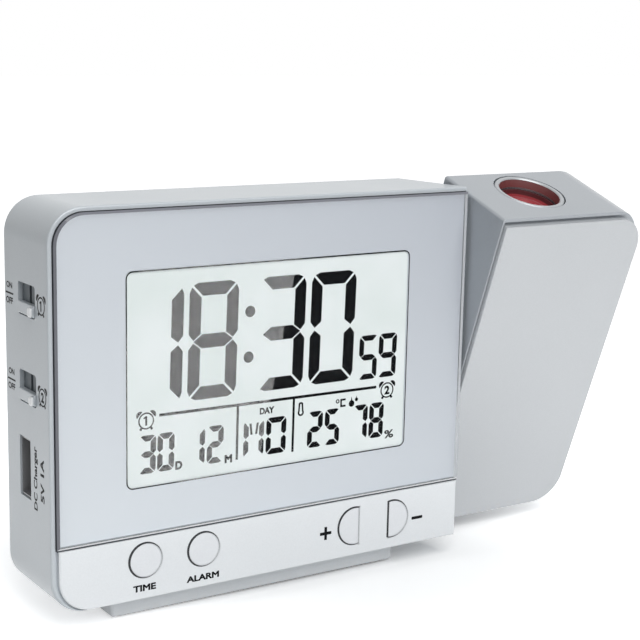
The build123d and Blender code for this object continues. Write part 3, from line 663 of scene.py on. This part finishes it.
class CLOCK_OT_window(bpy.types.Operator):
    """Make the clear window with painted light and shade on its bevelled edge, and the dark joint of
    painted shade round it
    """
    bl_idname = "clock.window"
    bl_label = "Make the Window"

    bevel = 0.5 * MM
    corner = 6.85 * MM
    print_room = 0.03 * MM
    joint_width, joint_depth = 0.14 * MM, 0.3 * MM
    seam_depth = 0.1 * MM

    def execute(self, context):
        (left, front, bottom), (right, back, top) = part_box("window")
        back -= self.print_room
        pane = flat(right - left, top - bottom)
        self.round_top_left(pane, self.corner)
        middle = ((left + right) / 2, front + self.bevel, (bottom + top) / 2)
        place(pane, middle, FACING_FRONT)
        thicken(pane, back - front - self.bevel)
        edit(pane)
        select(pane, "FACE", lambda normal: normal.y < -0.9)
        bpy.ops.mesh.inset(thickness=self.bevel, depth=self.bevel)
        close()
        settle(pane, "window_pane")
        self.finish_pane(pane)
        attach(pane, "case")
        pane.visible_shadow = False
        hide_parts("window")
        self.make_joint(left, right, bottom, top)
        return {"FINISHED"}

    @staticmethod
    def round_top_left(obj, radius):
        round_corners(obj, radius, lambda spot: spot.x < 0 < spot.y, 12)

    @staticmethod
    def finish_pane(pane):
        """Clear in front and behind; its bevel and side walls carry painted light and shade: lit below and
        on the right, half lit on the right bevel, and shaded above and at the left.
        """
        clear, side, shaded, lit, edge = range(5)
        pane.data.materials.clear()
        # Dark side walls and shaded, lit and half lit bevels: painted light and shade, chosen by the way
        # each face looks.
        for finish in (clear_sheet("window_clear", 0.0015, 0.03),
                       moulded("window_side", (0.035, 0.04, 0.05), 0.3),
                       moulded("window_bevel_shaded", (0.20, 0.205, 0.235), 0.15),
                       moulded("window_bevel_lit", (0.97, 0.98, 0.99), 0.2),
                       moulded("window_bevel_edge", (0.45, 0.46, 0.49), 0.2)):
            pane.data.materials.append(finish)
        for face in pane.data.polygons:
            slant = abs(face.normal.y)
            looks_right, looks_down = face.normal.x > 0.5, face.normal.z < -0.5
            if slant > 0.95:
                face.material_index = clear
            elif slant < 0.2:
                face.material_index = lit if looks_right or looks_down else side
            elif looks_down:
                face.material_index = lit
            else:
                face.material_index = edge if looks_right else shaded

    def make_joint(self, left, right, bottom, top):
        """The dark strip at the bottom of the groove round the window, and the seam below it: painted
        shade, dark sheets laid where the groove and the gap lie in shade.
        """
        black = moulded("joint_black", (0.03, 0.034, 0.045), 0.5)
        gap = bottom - high("button_fascia")[2]
        width = self.joint_width
        (x0, x1), (z0, z1) = (left - width, right + width), (bottom - width, top + width)
        joint = flat(x1 - x0, z1 - z0)
        self.round_top_left(joint, self.corner + width)
        hollow(joint, width)
        front = low("window_mask")[1] - self.joint_depth
        place(joint, ((x0 + x1) / 2, front, (z0 + z1) / 2), FACING_FRONT)
        pull(joint, lambda spot: spot.z < bottom - width / 2, (0, 0, width - gap))
        cut_away(joint, (right, 0, 0), (1, 0, 0))
        thicken(joint, self.joint_depth)
        dress(settle(joint, "window_joint"), black, "case")
        seam = ((left + right) / 2, low("button_fascia")[1] + self.seam_depth, bottom - gap / 2)
        print_on("window_seam", black, "dark_plastic", seam, FACING_FRONT,
                 [flat(right - left, gap)])


class CLOCK_OT_display(bpy.types.Operator):
    """Draw the figures, marks and lines of the display"""
    bl_idname = "clock.display"
    bl_label = "Draw the Display"

    def execute(self, context):
        look = context.scene.clock_display
        self.time(look)
        self.seconds(look)
        self.date_and_climate(look)
        self.lines()
        self.alarm_marks()
        self.border()
        return {"FINISHED"}

    @staticmethod
    def lay(name, shapes, letters=()):
        """Lay figures drawn in X and Z on the display glass."""
        print_on(name, finish_named("display_black"), "black_resin",
                 (0, low("lcd_glass")[1] - INK, 0), FACING_FRONT, shapes, letters)

    def time(self, look):
        size = Figure(look.figure_width, look.figure_height, look.figure_stroke, look.lean)
        parts = size.row(look.hours + look.minutes, (-34.53, -20.75, -2.9, 11.02), 48.8)
        for x, z in ((-5.08, 67.68), (-5.4, 57.2)):
            parts.append(move(disc(1.29 * MM), (x * MM, z * MM, 0)))
        size.put_away()
        self.lay("display_time", parts)

    def seconds(self, look):
        size = Figure(5.25 * MM, 10.7 * MM, look.small_stroke, look.lean)
        parts = size.row(look.seconds, (24.95, 30.6), 48.4)
        size.put_away()
        self.lay("display_seconds", parts)

    def date_and_climate(self, look):
        bottom = 33.6
        size = Figure(look.small_width, look.small_height, look.small_stroke, look.lean)
        date = size.row("3012", (-32.95, -28.4, -20.7, -15.95), bottom)
        units = [word("D", -23.05, 34.4, 1.75, 1.95, 0.05), word("M", -10.4, 34.1, 1.95, 1.95, 0.05)]
        self.lay("display_date", date, units)
        wide = Figure(5.4 * MM, look.small_height, look.small_stroke, look.lean)
        day = wide.row("M0", (-6.5, -0.5), bottom)
        self.lay("display_day", day, [word("DAY", -0.3, 44.15, 3.9, 1.55, 0.05)])
        wide.put_away()
        climate = size.row("2578", (10.8, 15.6, 23.65, 28.35), bottom)
        climate += [self.thermometer(), self.degree(), self.drops()]
        size.put_away()
        self.lay("display_climate", climate, [word("%", 34.35, 34.0, 2.7, 2.05, 0.025)])

    @staticmethod
    def thermometer():
        """A hollow bulb with a hollow tube on it."""
        bulb_x, bulb_z, bulb, line, top = 8.87 * MM, 42.5 * MM, 0.84 * MM, 0.42 * MM, 45.0 * MM
        outline = disc(bulb, 24)
        pull(outline, lambda spot: spot.y > bulb * 0.7, (0, top - bulb_z - bulb, 0))
        return move(hollow(outline, line), (bulb_x, bulb_z, 0))

    @staticmethod
    def degree():
        ring = move(hollow(disc(0.52 * MM, 20), 0.26 * MM), (19.15 * MM, 43.95 * MM, 0))
        left, right, bottom, top, line = 19.92, 21.45, 42.42, 44.42, 0.46
        bars = [stroke(left, top - line / 2, right, top - line / 2, line),
                stroke(left, bottom + line / 2, right, bottom + line / 2, line),
                stroke(left + line / 2, bottom, left + line / 2, top, line)]
        return join([ring] + bars, "degree")

    @staticmethod
    def drops():
        """A large and a small drop of water, each a disc with its top point drawn up."""
        parts = []
        for x, z, radius in ((23.15, 42.95, 0.80), (24.55, 43.8, 0.45)):
            drop = disc(radius * MM, 24)
            pull(drop, lambda spot: spot.y > radius * MM * 0.99, (0, radius * 1.15 * MM, 0))
            parts.append(move(drop, (x * MM, z * MM, 0)))
        return join(parts, "drops")

    def lines(self):
        rows = ((-27.92, 46.49, 30.24, 46.17, 0.66), (-8.03, 46.1, -8.22, 33.5, 0.6),
                (6.93, 46.1, 6.75, 33.3, 0.6))
        self.lay("display_lines", [stroke(*row) for row in rows])

    def alarm_marks(self):
        for number, x, z in (("1", -31.1, 45.58), ("2", 33.43, 45.06)):
            outline, figure = bell_mark(number, x, z, 1.92)
            self.lay(f"display_alarm_{number}", [outline], [figure])

    @staticmethod
    def border():
        """The fine line printed on the mask round the display."""
        left, right, bottom, top = -36.0 * MM, 38.9 * MM, 30.5 * MM, 78.9 * MM
        line = flat(right - left, top - bottom)
        round_corners(line, 1.6 * MM)
        hollow(line, 0.26 * MM)
        centre = ((left + right) / 2, low("window_mask")[1] - INK, (bottom + top) / 2)
        print_on("display_border", finish_named("display_black"), "black_resin", centre,
                 FACING_FRONT, [line])


class Figure:
    """The seven bars of a figure, cut once and copied for each digit."""
    bars_of = {"0": "abcdef", "1": "bc", "2": "abged", "3": "abgcd", "4": "fgbc",
               "5": "afgcd", "6": "afgedc", "7": "abc", "8": "abcdefg", "9": "abcdfg",
               "M": "fbecxy"}

    def __init__(self, width, height, stroke_width, lean):
        self.width, self.height, self.stroke, self.lean = width, height, stroke_width, lean
        self.bars = {name: cut_out([self.leaned(p) for p in corners])
                     for name, corners in self.outlines().items()}

    def leaned(self, point):
        return point[0] + self.lean * (point[1] - self.height / 2), point[1]

    def outlines(self):
        """Outlines of the bars: one of each kind, and the others as its mirror images."""
        w, h, s = self.width, self.height, self.stroke
        mid = h / 2
        run, in_set, gap = 0.70 * s, 0.235 * s, 0.06 * s
        tip, shoulder = 0.38 * s, 1.07 * s
        top = [(run, h), (w - run, h), (w - in_set - gap, h - in_set + gap),
               (w - s - gap, h - s + gap), (s + gap, h - s + gap),
               (in_set + gap, h - in_set + gap)]
        side = [(0, h - run), (in_set - gap, h - in_set - gap), (s - gap, h - s - gap),
                (s - gap, mid + 0.53 * s), (tip, mid + 0.1 * s), (0, mid + 0.55 * s)]
        middle = [(tip, mid), (shoulder, mid + s / 2), (w - shoulder, mid + s / 2),
                  (w - tip, mid), (w - shoulder, mid - s / 2), (shoulder, mid - s / 2)]

        def flip_x(corners):
            return [(w - x, z) for x, z in corners]

        def flip_z(corners):
            return [(x, h - z) for x, z in corners]

        bars = {"a": top, "d": flip_z(top), "g": middle, "f": side, "e": flip_z(side),
                "b": flip_x(side), "c": flip_x(flip_z(side))}
        slant = [(1.02 * s, h - 0.5 * s), (1.42 * s, h - 0.5 * s), (1.66 * s, mid + 0.7 * s),
                 (1.26 * s, mid + 0.7 * s)]
        bars["x"], bars["y"] = slant, flip_x(slant)
        return bars

    def row(self, digits, places, z):
        """Digits side by side at their places in a row, in millimetres."""
        return [join([copy_of(self.bars[bar], (x * MM, z * MM, 0)) for bar in self.bars_of[digit]],
                     "digit") for digit, x in zip(digits, places)]

    def put_away(self):
        pick(*self.bars.values())
        bpy.ops.object.delete()


def word(words, x, z, width, height, weight):
    """Letters at a place on a drawing, in millimetres."""
    letters = lettering(words, width * MM, height * MM, weight)
    return move(letters, (x * MM, z * MM, 0))


def stroke(x0, z0, x1, z1, width):
    """A straight line with softly cut ends between two points, in millimetres."""
    length = math.hypot(x1 - x0, z1 - z0) * MM
    line = flat(length, width * MM)
    round_corners(line, 0.2 * width * MM, segments=2)
    line.rotation_euler = (0, 0, math.atan2(z1 - z0, x1 - x0))
    line.location = ((x0 + x1) / 2 * MM, (z0 + z1) / 2 * MM, 0)
    return settle(line)


def bell_mark(number, x, z, radius):
    """An alarm clock's outline, with ring, bells and feet, and the number inside it."""
    x, z, radius = x * MM, z * MM, radius * MM
    line = 0.17 * radius
    parts = [hollow(disc(radius, 40), line)]
    for side in (-1, 1):
        bell_angle = math.radians(90 - side * 48)
        out = Vector((math.cos(bell_angle), math.sin(bell_angle), 0))
        across = Vector((-out.y, out.x, 0))
        bell = disc(0.5 * radius, 24)
        move(bell, out * 1.02 * radius)
        edge = out * 1.1 * radius
        trim(bell, edge - across, edge + across, out * 2 * radius)
        parts.append(bell)
        foot_angle = math.radians(-90 + side * 36)
        reach = Vector((math.cos(foot_angle), math.sin(foot_angle)))
        start, end = reach * radius / MM, reach * 1.3 * radius / MM
        parts.append(stroke(start.x, start.y, end.x, end.y, 1.8 * line / MM))
    if number == "1":
        figure = thicken(one(1.12 * radius / MM), INK)
    else:
        figure = lettering(number, 0.78 * radius, 1.12 * radius, 0.045)
    return move(join(parts, "mark"), (x, z, 0)), move(figure, (x, z, 0))


def one(height):
    """A figure one with its flag, about the origin, its height in millimetres."""
    top, width = height / 2, 0.22 * height
    stem = stroke(0, -top, 0, top, width)
    flag = stroke(-0.3 * height, 0.26 * height, 0, 0.44 * height, 0.7 * width)
    return join([stem, flag], "one")


class CLOCK_OT_key_labels(bpy.types.Operator):
    """Print the words and signs beside the keys"""
    bl_idname = "clock.key_labels"
    bl_label = "Print the Key Labels"

    def execute(self, context):
        face = (0, low("button_fascia")[1] - INK, 0)
        labels = {
            "label_time": ([], [word("TIME", -32.15, 7.8, 5.6, 1.55, 0.045)]),
            "label_alarm": ([], [word("ALARM", -17.45, 7.55, 8.4, 1.5, 0.045)]),
            "label_plus": ([self.plus(15.8, 12.15, 3.25, 0.75)], []),
            "label_minus": ([stroke(41.25, 11.7, 44.55, 11.7, 0.75)], []),
        }
        for name, drawn in labels.items():
            print_on(name, finish_named("black_print"), "black_resin", face, FACING_FRONT, *drawn)
        return {"FINISHED"}

    @staticmethod
    def plus(x, z, size, width):
        """A plus sign: a square with an arm drawn out of each side."""
        arm = (size - width) / 2 * MM
        sign = flat(width * MM, width * MM)
        for direction in ((1, 0), (0, 1), (-1, 0), (0, -1)):
            edit(sign)
            reach = width / 2 * MM * 0.99
            select(sign, "VERT", lambda spot: (spot.x * direction[0] + spot.y * direction[1] > reach
                                               and max(abs(spot.x), abs(spot.y)) < reach * 1.1))
            bpy.ops.mesh.select_mode(type="EDGE")
            bpy.ops.mesh.extrude_region_move(
                TRANSFORM_OT_translate={"value": (direction[0] * arm, direction[1] * arm, 0)})
            close()
        return move(sign, (x * MM, z * MM, 0))


class CLOCK_OT_side_print(bpy.types.Operator):
    """Print the words beside the alarm switches and the charging socket"""
    bl_idname = "clock.side_print"
    bl_label = "Print the Left Side"

    def execute(self, context):
        rows = {"1": (74.4, 72.6, 71.0, 72.45, 3.5, 20.9), "2": (55.2, 53.4, 51.85, 52.9, 3.9, 21.0)}
        for number, (on, line, off, mark, across, mark_y) in rows.items():
            words = [word("ON", across, on, 3.3, 1.4, 0.035), word("OFF", across, off, 3.9, 1.5, 0.035)]
            bell, figure = bell_mark(number, mark_y, mark, 2.0)
            shapes = [stroke(across - 2.2, line, across + 2.2, line, 0.4), bell]
            self.lay(f"print_switch_{number}", shapes, words + [figure])
        upward = [word("DC Charger", 34.05, -16.8, 14.3, 2.4, 0.032),
                  word("5V 1A", 34.4, -20.3, 9.8, 2.0, 0.035)]
        turned = join(upward, "charger")
        turned.rotation_euler = (0, 0, math.radians(90))
        self.lay("print_charger", [], [settle(turned)])
        return {"FINISHED"}

    @staticmethod
    def lay(name, shapes, letters):
        """Lay a drawing on the left wall: its X runs forward, its Y runs up."""
        print_on(name, finish_named("black_print"), "black_resin",
                 (low("case_shell")[0] - INK, 0, 0), FACING_LEFT, shapes, letters)


class CLOCK_OT_key_gaps(bpy.types.Operator):
    """Paint shade into the gap round each key, dark on the left and above, where no light gets in, over a
    pale ring of painted light that hides the rest of the gap
    """
    bl_idname = "clock.key_gaps"
    bl_label = "Make the Key Gaps"

    # Widths and offsets of the painted shade and of the pale ring of painted light.
    dark_width, dark_shift = 0.30 * MM, (-0.26 * MM, 0.12 * MM, 0)
    pale_width, pale_shift = 0.36 * MM, (-0.12 * MM, 0.06 * MM, 0)
    flange = 0.8 * MM          # how far a key reaches under the strip

    def execute(self, context):
        face = low("button_fascia")[1]
        # Painted shade in the gap, and a pale ring of painted light over it.
        dark = moulded("gap_dark", (0.012, 0.013, 0.017), 0.5)
        pale = moulded("gap_pale", (0.62, 0.635, 0.655), 0.5)
        for key in ("time_key", "alarm_key", "plus_key", "minus_key"):
            hole = self.hole(key)
            lip = self.rim(copy_of(hole), self.pale_width, False, self.pale_shift)
            print_on(f"lip_{key}", pale, "silver_panel", (0, face, 0), FACING_FRONT, [lip])
            gap = self.rim(hole, self.dark_width, True, self.dark_shift)
            print_on(f"gap_{key}", dark, "dark_plastic", (0, face - INK, 0), FACING_FRONT, [gap])
        return {"FINISHED"}

    def hole(self, key):
        """The outline of a key's hole: a circle, or for plus and minus one with a flat side."""
        (left, _, bottom), (right, _, top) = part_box(key)
        radius = (top - bottom) / 2 - self.flange
        outline = disc(radius, 48)
        flat_side = {"plus_key": 1, "minus_key": -1}.get(key)
        if flat_side:
            cut = flat_side * (right - left - 2 * self.flange - radius)
            trim(outline, (cut, -1), (cut, 1), (0, 0))
            move(outline, ((flat_side * radius - cut) / 2, 0, 0))
        return move(outline, ((left + right) / 2, (bottom + top) / 2, 0))

    @staticmethod
    def rim(outline, width, outer, shift):
        """A flat rim inside the outline, with its outer or its inner edge set aside by shift."""
        edge = {(round(v.co.x, 7), round(v.co.y, 7)) for v in outline.data.vertices}
        hollow(outline, width)
        return pull(outline, lambda spot: ((round(spot.x, 7), round(spot.y, 7)) in edge) == outer,
                    shift)


class CLOCK_OT_lens_well(bpy.types.Operator):
    """Line the bore of the focus ring with a flared red sleeve"""
    bl_idname = "clock.lens_well"
    bl_label = "Line the Lens Well"

    mouth_radius, foot_radius = 7.72 * MM, 7.3 * MM
    start, length, wall = 0.3 * MM, 1.8 * MM, 0.06 * MM

    def execute(self, context):
        joint = next(row for row in frame["joints"] if row["name"] == "focus_turn")
        axis = Vector(joint["axis"]).normalized()
        put_down()
        bpy.ops.mesh.primitive_circle_add(vertices=64, radius=self.mouth_radius)
        sleeve = bpy.context.object
        edit(sleeve)
        narrower = (self.foot_radius / self.mouth_radius) ** 0.5
        for _ in range(2):
            bpy.ops.mesh.extrude_region_move(
                TRANSFORM_OT_translate={"value": (0, 0, -self.length / 2)})
            bpy.ops.transform.resize(value=(narrower, narrower, 1))
        bpy.ops.mesh.select_all(action="SELECT")
        bpy.ops.mesh.normals_make_consistent(inside=True)
        close()
        thicken(sleeve, self.wall)
        sleeve.rotation_euler = axis.to_track_quat("Z", "Y").to_euler()
        sleeve.location = Vector(joint["pos_m"]) - axis * self.start
        settle(sleeve, "lens_well")
        bpy.ops.object.shade_smooth_by_angle(angle=math.radians(40))
        well = moulded("well_red", (0.20, 0.06, 0.06), 0.3, 300, 0.02)
        dress(sleeve, well, "focus_ring")
        return {"FINISHED"}


class CLOCK_OT_stage(bpy.types.Operator):
    """Set up the floor, the camera, the lamps and the room"""
    bl_idname = "clock.stage"
    bl_label = "Set the Stage"

    floor_width = 6.0
    tone_reach = (0.15, 0.5)       # distances over which the floor's tone changes
    glow_reach = (0.025, 0.12)     # and over which it comes to add its full light

    def execute(self, context):
        look = context.scene.clock_stage
        context.scene.view_settings.view_transform = "Standard"
        camera = self.camera(context.scene, look)
        self.floor(look)
        self.room(context.scene, look)
        self.key_lamp(look)
        self.glare_panel(look, camera.location)
        return {"FINISHED"}

    @staticmethod
    def camera(scene, look):
        turn, drop, roll = look.camera_azimuth, look.camera_drop, look.camera_roll
        ahead = Vector((-math.sin(turn) * math.cos(drop), math.cos(turn) * math.cos(drop),
                        -math.sin(drop)))
        right = Vector((math.cos(turn), math.sin(turn), 0))
        up = right.cross(ahead)
        across = right * math.cos(roll) + up * math.sin(roll)
        upward = up * math.cos(roll) - right * math.sin(roll)
        camera = bpy.data.objects.new("camera", bpy.data.cameras.new("camera"))
        scene.collection.objects.link(camera)
        axes = Matrix((across, upward, -ahead)).transposed()
        camera.matrix_world = Matrix.Translation(Vector(look.camera_place)) @ axes.to_4x4()
        camera.data.lens = look.lens_length
        camera.data.sensor_width = 36
        camera.data.clip_start = 0.01
        scene.camera = camera
        bpy.context.view_layer.update()
        return camera

    @staticmethod
    def seen_rays(tree):
        """1 for rays from the camera, a mirror or a clear sheet, and 0 for all others."""
        path = add_node(tree, "LightPath", {})
        total = path.outputs["Is Camera Ray"]
        for name in ("Is Glossy Ray", "Is Transmission Ray"):
            larger = add_node(tree, "Math", {0: total, 1: path.outputs[name]}, operation="MAXIMUM")
            total = larger.outputs[0]
        return total

    def floor(self, look):
        floor = flat(self.floor_width, self.floor_width)
        edit(floor)
        bpy.ops.mesh.subdivide(number_cuts=3)
        close()
        settle(floor, "floor")
        finish, skin = new_finish("floor_white", (1, 1, 1), 0.9, Specular_IOR_Level=0.0,
                                  Emission_Color=(1, 1, 1, 1))
        tree = skin.id_data
        offset = add_node(tree, "VectorMath", {0: object_places(tree), 1: look.shade_centre},
                          operation="DISTANCE")
        distance, smooth = offset.outputs["Value"], {"interpolation_type": "SMOOTHSTEP"}
        tone = ramp(tree, distance, self.tone_reach, (look.floor_near, look.floor_far), **smooth)
        feed(skin.inputs["Base Color"], tone)
        added = ramp(tree, distance, self.glow_reach, (look.floor_glow, 1.0), **smooth)
        glow = add_node(tree, "Math", {0: self.seen_rays(tree), 1: added}, operation="MULTIPLY")
        feed(skin.inputs["Emission Strength"], glow.outputs[0])
        floor.data.materials.append(finish)

    def room(self, scene, look):
        """Even light that is weaker from the left, and white wherever a seen ray ends."""
        world = bpy.data.worlds.new("room")
        scene.world = world
        world.use_nodes = True
        tree = world.node_tree
        tree.nodes.clear()
        direction = add_node(tree, "TexCoord", {}).outputs["Generated"]
        axes = add_node(tree, "SeparateXYZ", {0: direction})
        across = ramp(tree, axes.outputs["X"], (-1, 1), (look.room_left, 1))
        strength = add_node(tree, "Math", {0: look.room_light, 1: across}, operation="MULTIPLY")
        even = add_node(tree, "Background", {"Color": (*look.room_colour, 1),
                                             "Strength": strength.outputs[0]})
        white = add_node(tree, "Background", {"Color": (1, 1, 1, 1), "Strength": 1.0})
        mix = add_node(tree, "MixShader", {"Fac": self.seen_rays(tree), 1: even.outputs[0],
                                           2: white.outputs[0]})
        add_node(tree, "OutputWorld", {"Surface": mix.outputs[0]})

    @staticmethod
    def area_lamp(name, shape, width, power):
        lamp = bpy.data.objects.new(name, bpy.data.lights.new(name, "AREA"))
        bpy.context.scene.collection.objects.link(lamp)
        lamp.data.shape = shape
        lamp.data.size = width
        lamp.data.energy = power
        return lamp

    def key_lamp(self, look):
        lamp = self.area_lamp("key_lamp", "SQUARE", look.key_size, look.key_power)
        lamp.data.color = (1.0, 0.995, 0.985)
        azimuth, elevation = look.key_azimuth, look.key_elevation
        direction = Vector((math.sin(azimuth) * math.cos(elevation),
                            -math.cos(azimuth) * math.cos(elevation), math.sin(elevation)))
        middle = Vector((0, 0, 0.05))          # of the clock, half way up
        lamp.location = direction * look.key_distance + middle
        lamp.rotation_euler = direction.to_track_quat("Z", "Y").to_euler()

    def glare_panel(self, look, eye):
        """A bright panel in front, seen only by the display, whose right edge the glass mirrors."""
        glass, plane = low("lcd_glass")[1], -0.10
        edge_top, edge_low = (7.33 * MM, 78.99 * MM), (-2.80 * MM, 30.31 * MM)
        width, longer = 0.05, 1.15         # longer than the display is high, by this factor

        def mirrored(spot):
            place_on_glass = Vector((spot[0], glass, spot[1]))
            ray = place_on_glass - eye
            share = (glass - plane) / ray.y
            return place_on_glass + Vector((ray.x, -ray.y, ray.z)) * share

        top, bottom = mirrored(edge_top), mirrored(edge_low)
        up = (top - bottom).normalized()
        left = Vector((-up.z, 0, up.x))
        lamp = self.area_lamp("glare_panel", "RECTANGLE", width, look.glare_power)
        lamp.data.size_y = (top - bottom).length * longer
        centre = (top + bottom) / 2 + left * width / 2
        back = left.cross(up)
        axes = Matrix((-left, up, -back)).transposed().to_4x4()
        lamp.matrix_world = Matrix.Translation(centre) @ axes
        lamp.visible_camera = False
        lamp.visible_diffuse = False
        lamp.visible_transmission = False
        shown = bpy.data.collections.new("glare_receivers")
        for name in sorted(obj.name for obj in bpy.data.objects):
            if name.startswith("display_"):
                shown.objects.link(bpy.data.objects[name])
        lamp.light_linking.receiver_collection = shown


class CLOCK_PT_sidebar(bpy.types.Panel):
    """The clock's tools and settings"""
    bl_idname = "CLOCK_PT_sidebar"
    bl_label = "Projection Alarm Clock"
    bl_space_type = "VIEW_3D"
    bl_region_type = "UI"
    bl_category = "Clock"

    def draw(self, context):
        layout = self.layout
        for operator in OPERATORS:
            layout.operator(operator.bl_idname)
        for name in SETTINGS:
            group = getattr(context.scene, name)
            box = layout.box()
            for key in group.__annotations__:
                box.prop(group, key)


SETTINGS = {"clock_finish": FinishLook, "clock_display": DisplayLook, "clock_stage": StageLook}
OPERATORS = (CLOCK_OT_finishes, CLOCK_OT_window, CLOCK_OT_display, CLOCK_OT_key_labels,
             CLOCK_OT_side_print, CLOCK_OT_key_gaps, CLOCK_OT_lens_well, CLOCK_OT_stage)
CLASSES = (*SETTINGS.values(), *OPERATORS, CLOCK_PT_sidebar)


def register():
    for kind in CLASSES:
        bpy.utils.register_class(kind)
    for name, settings in SETTINGS.items():
        setattr(bpy.types.Scene, name, PointerProperty(type=settings))


def unregister():
    for name in SETTINGS:
        delattr(bpy.types.Scene, name)
    for kind in reversed(CLASSES):
        bpy.utils.unregister_class(kind)


def main():
    register()
    bpy.ops.clock.finishes()
    bpy.ops.clock.window()
    bpy.ops.clock.display()
    bpy.ops.clock.key_labels()
    bpy.ops.clock.side_print()
    bpy.ops.clock.key_gaps()
    bpy.ops.clock.lens_well()
    bpy.ops.clock.stage()


if __name__ == "__main__":
    main()
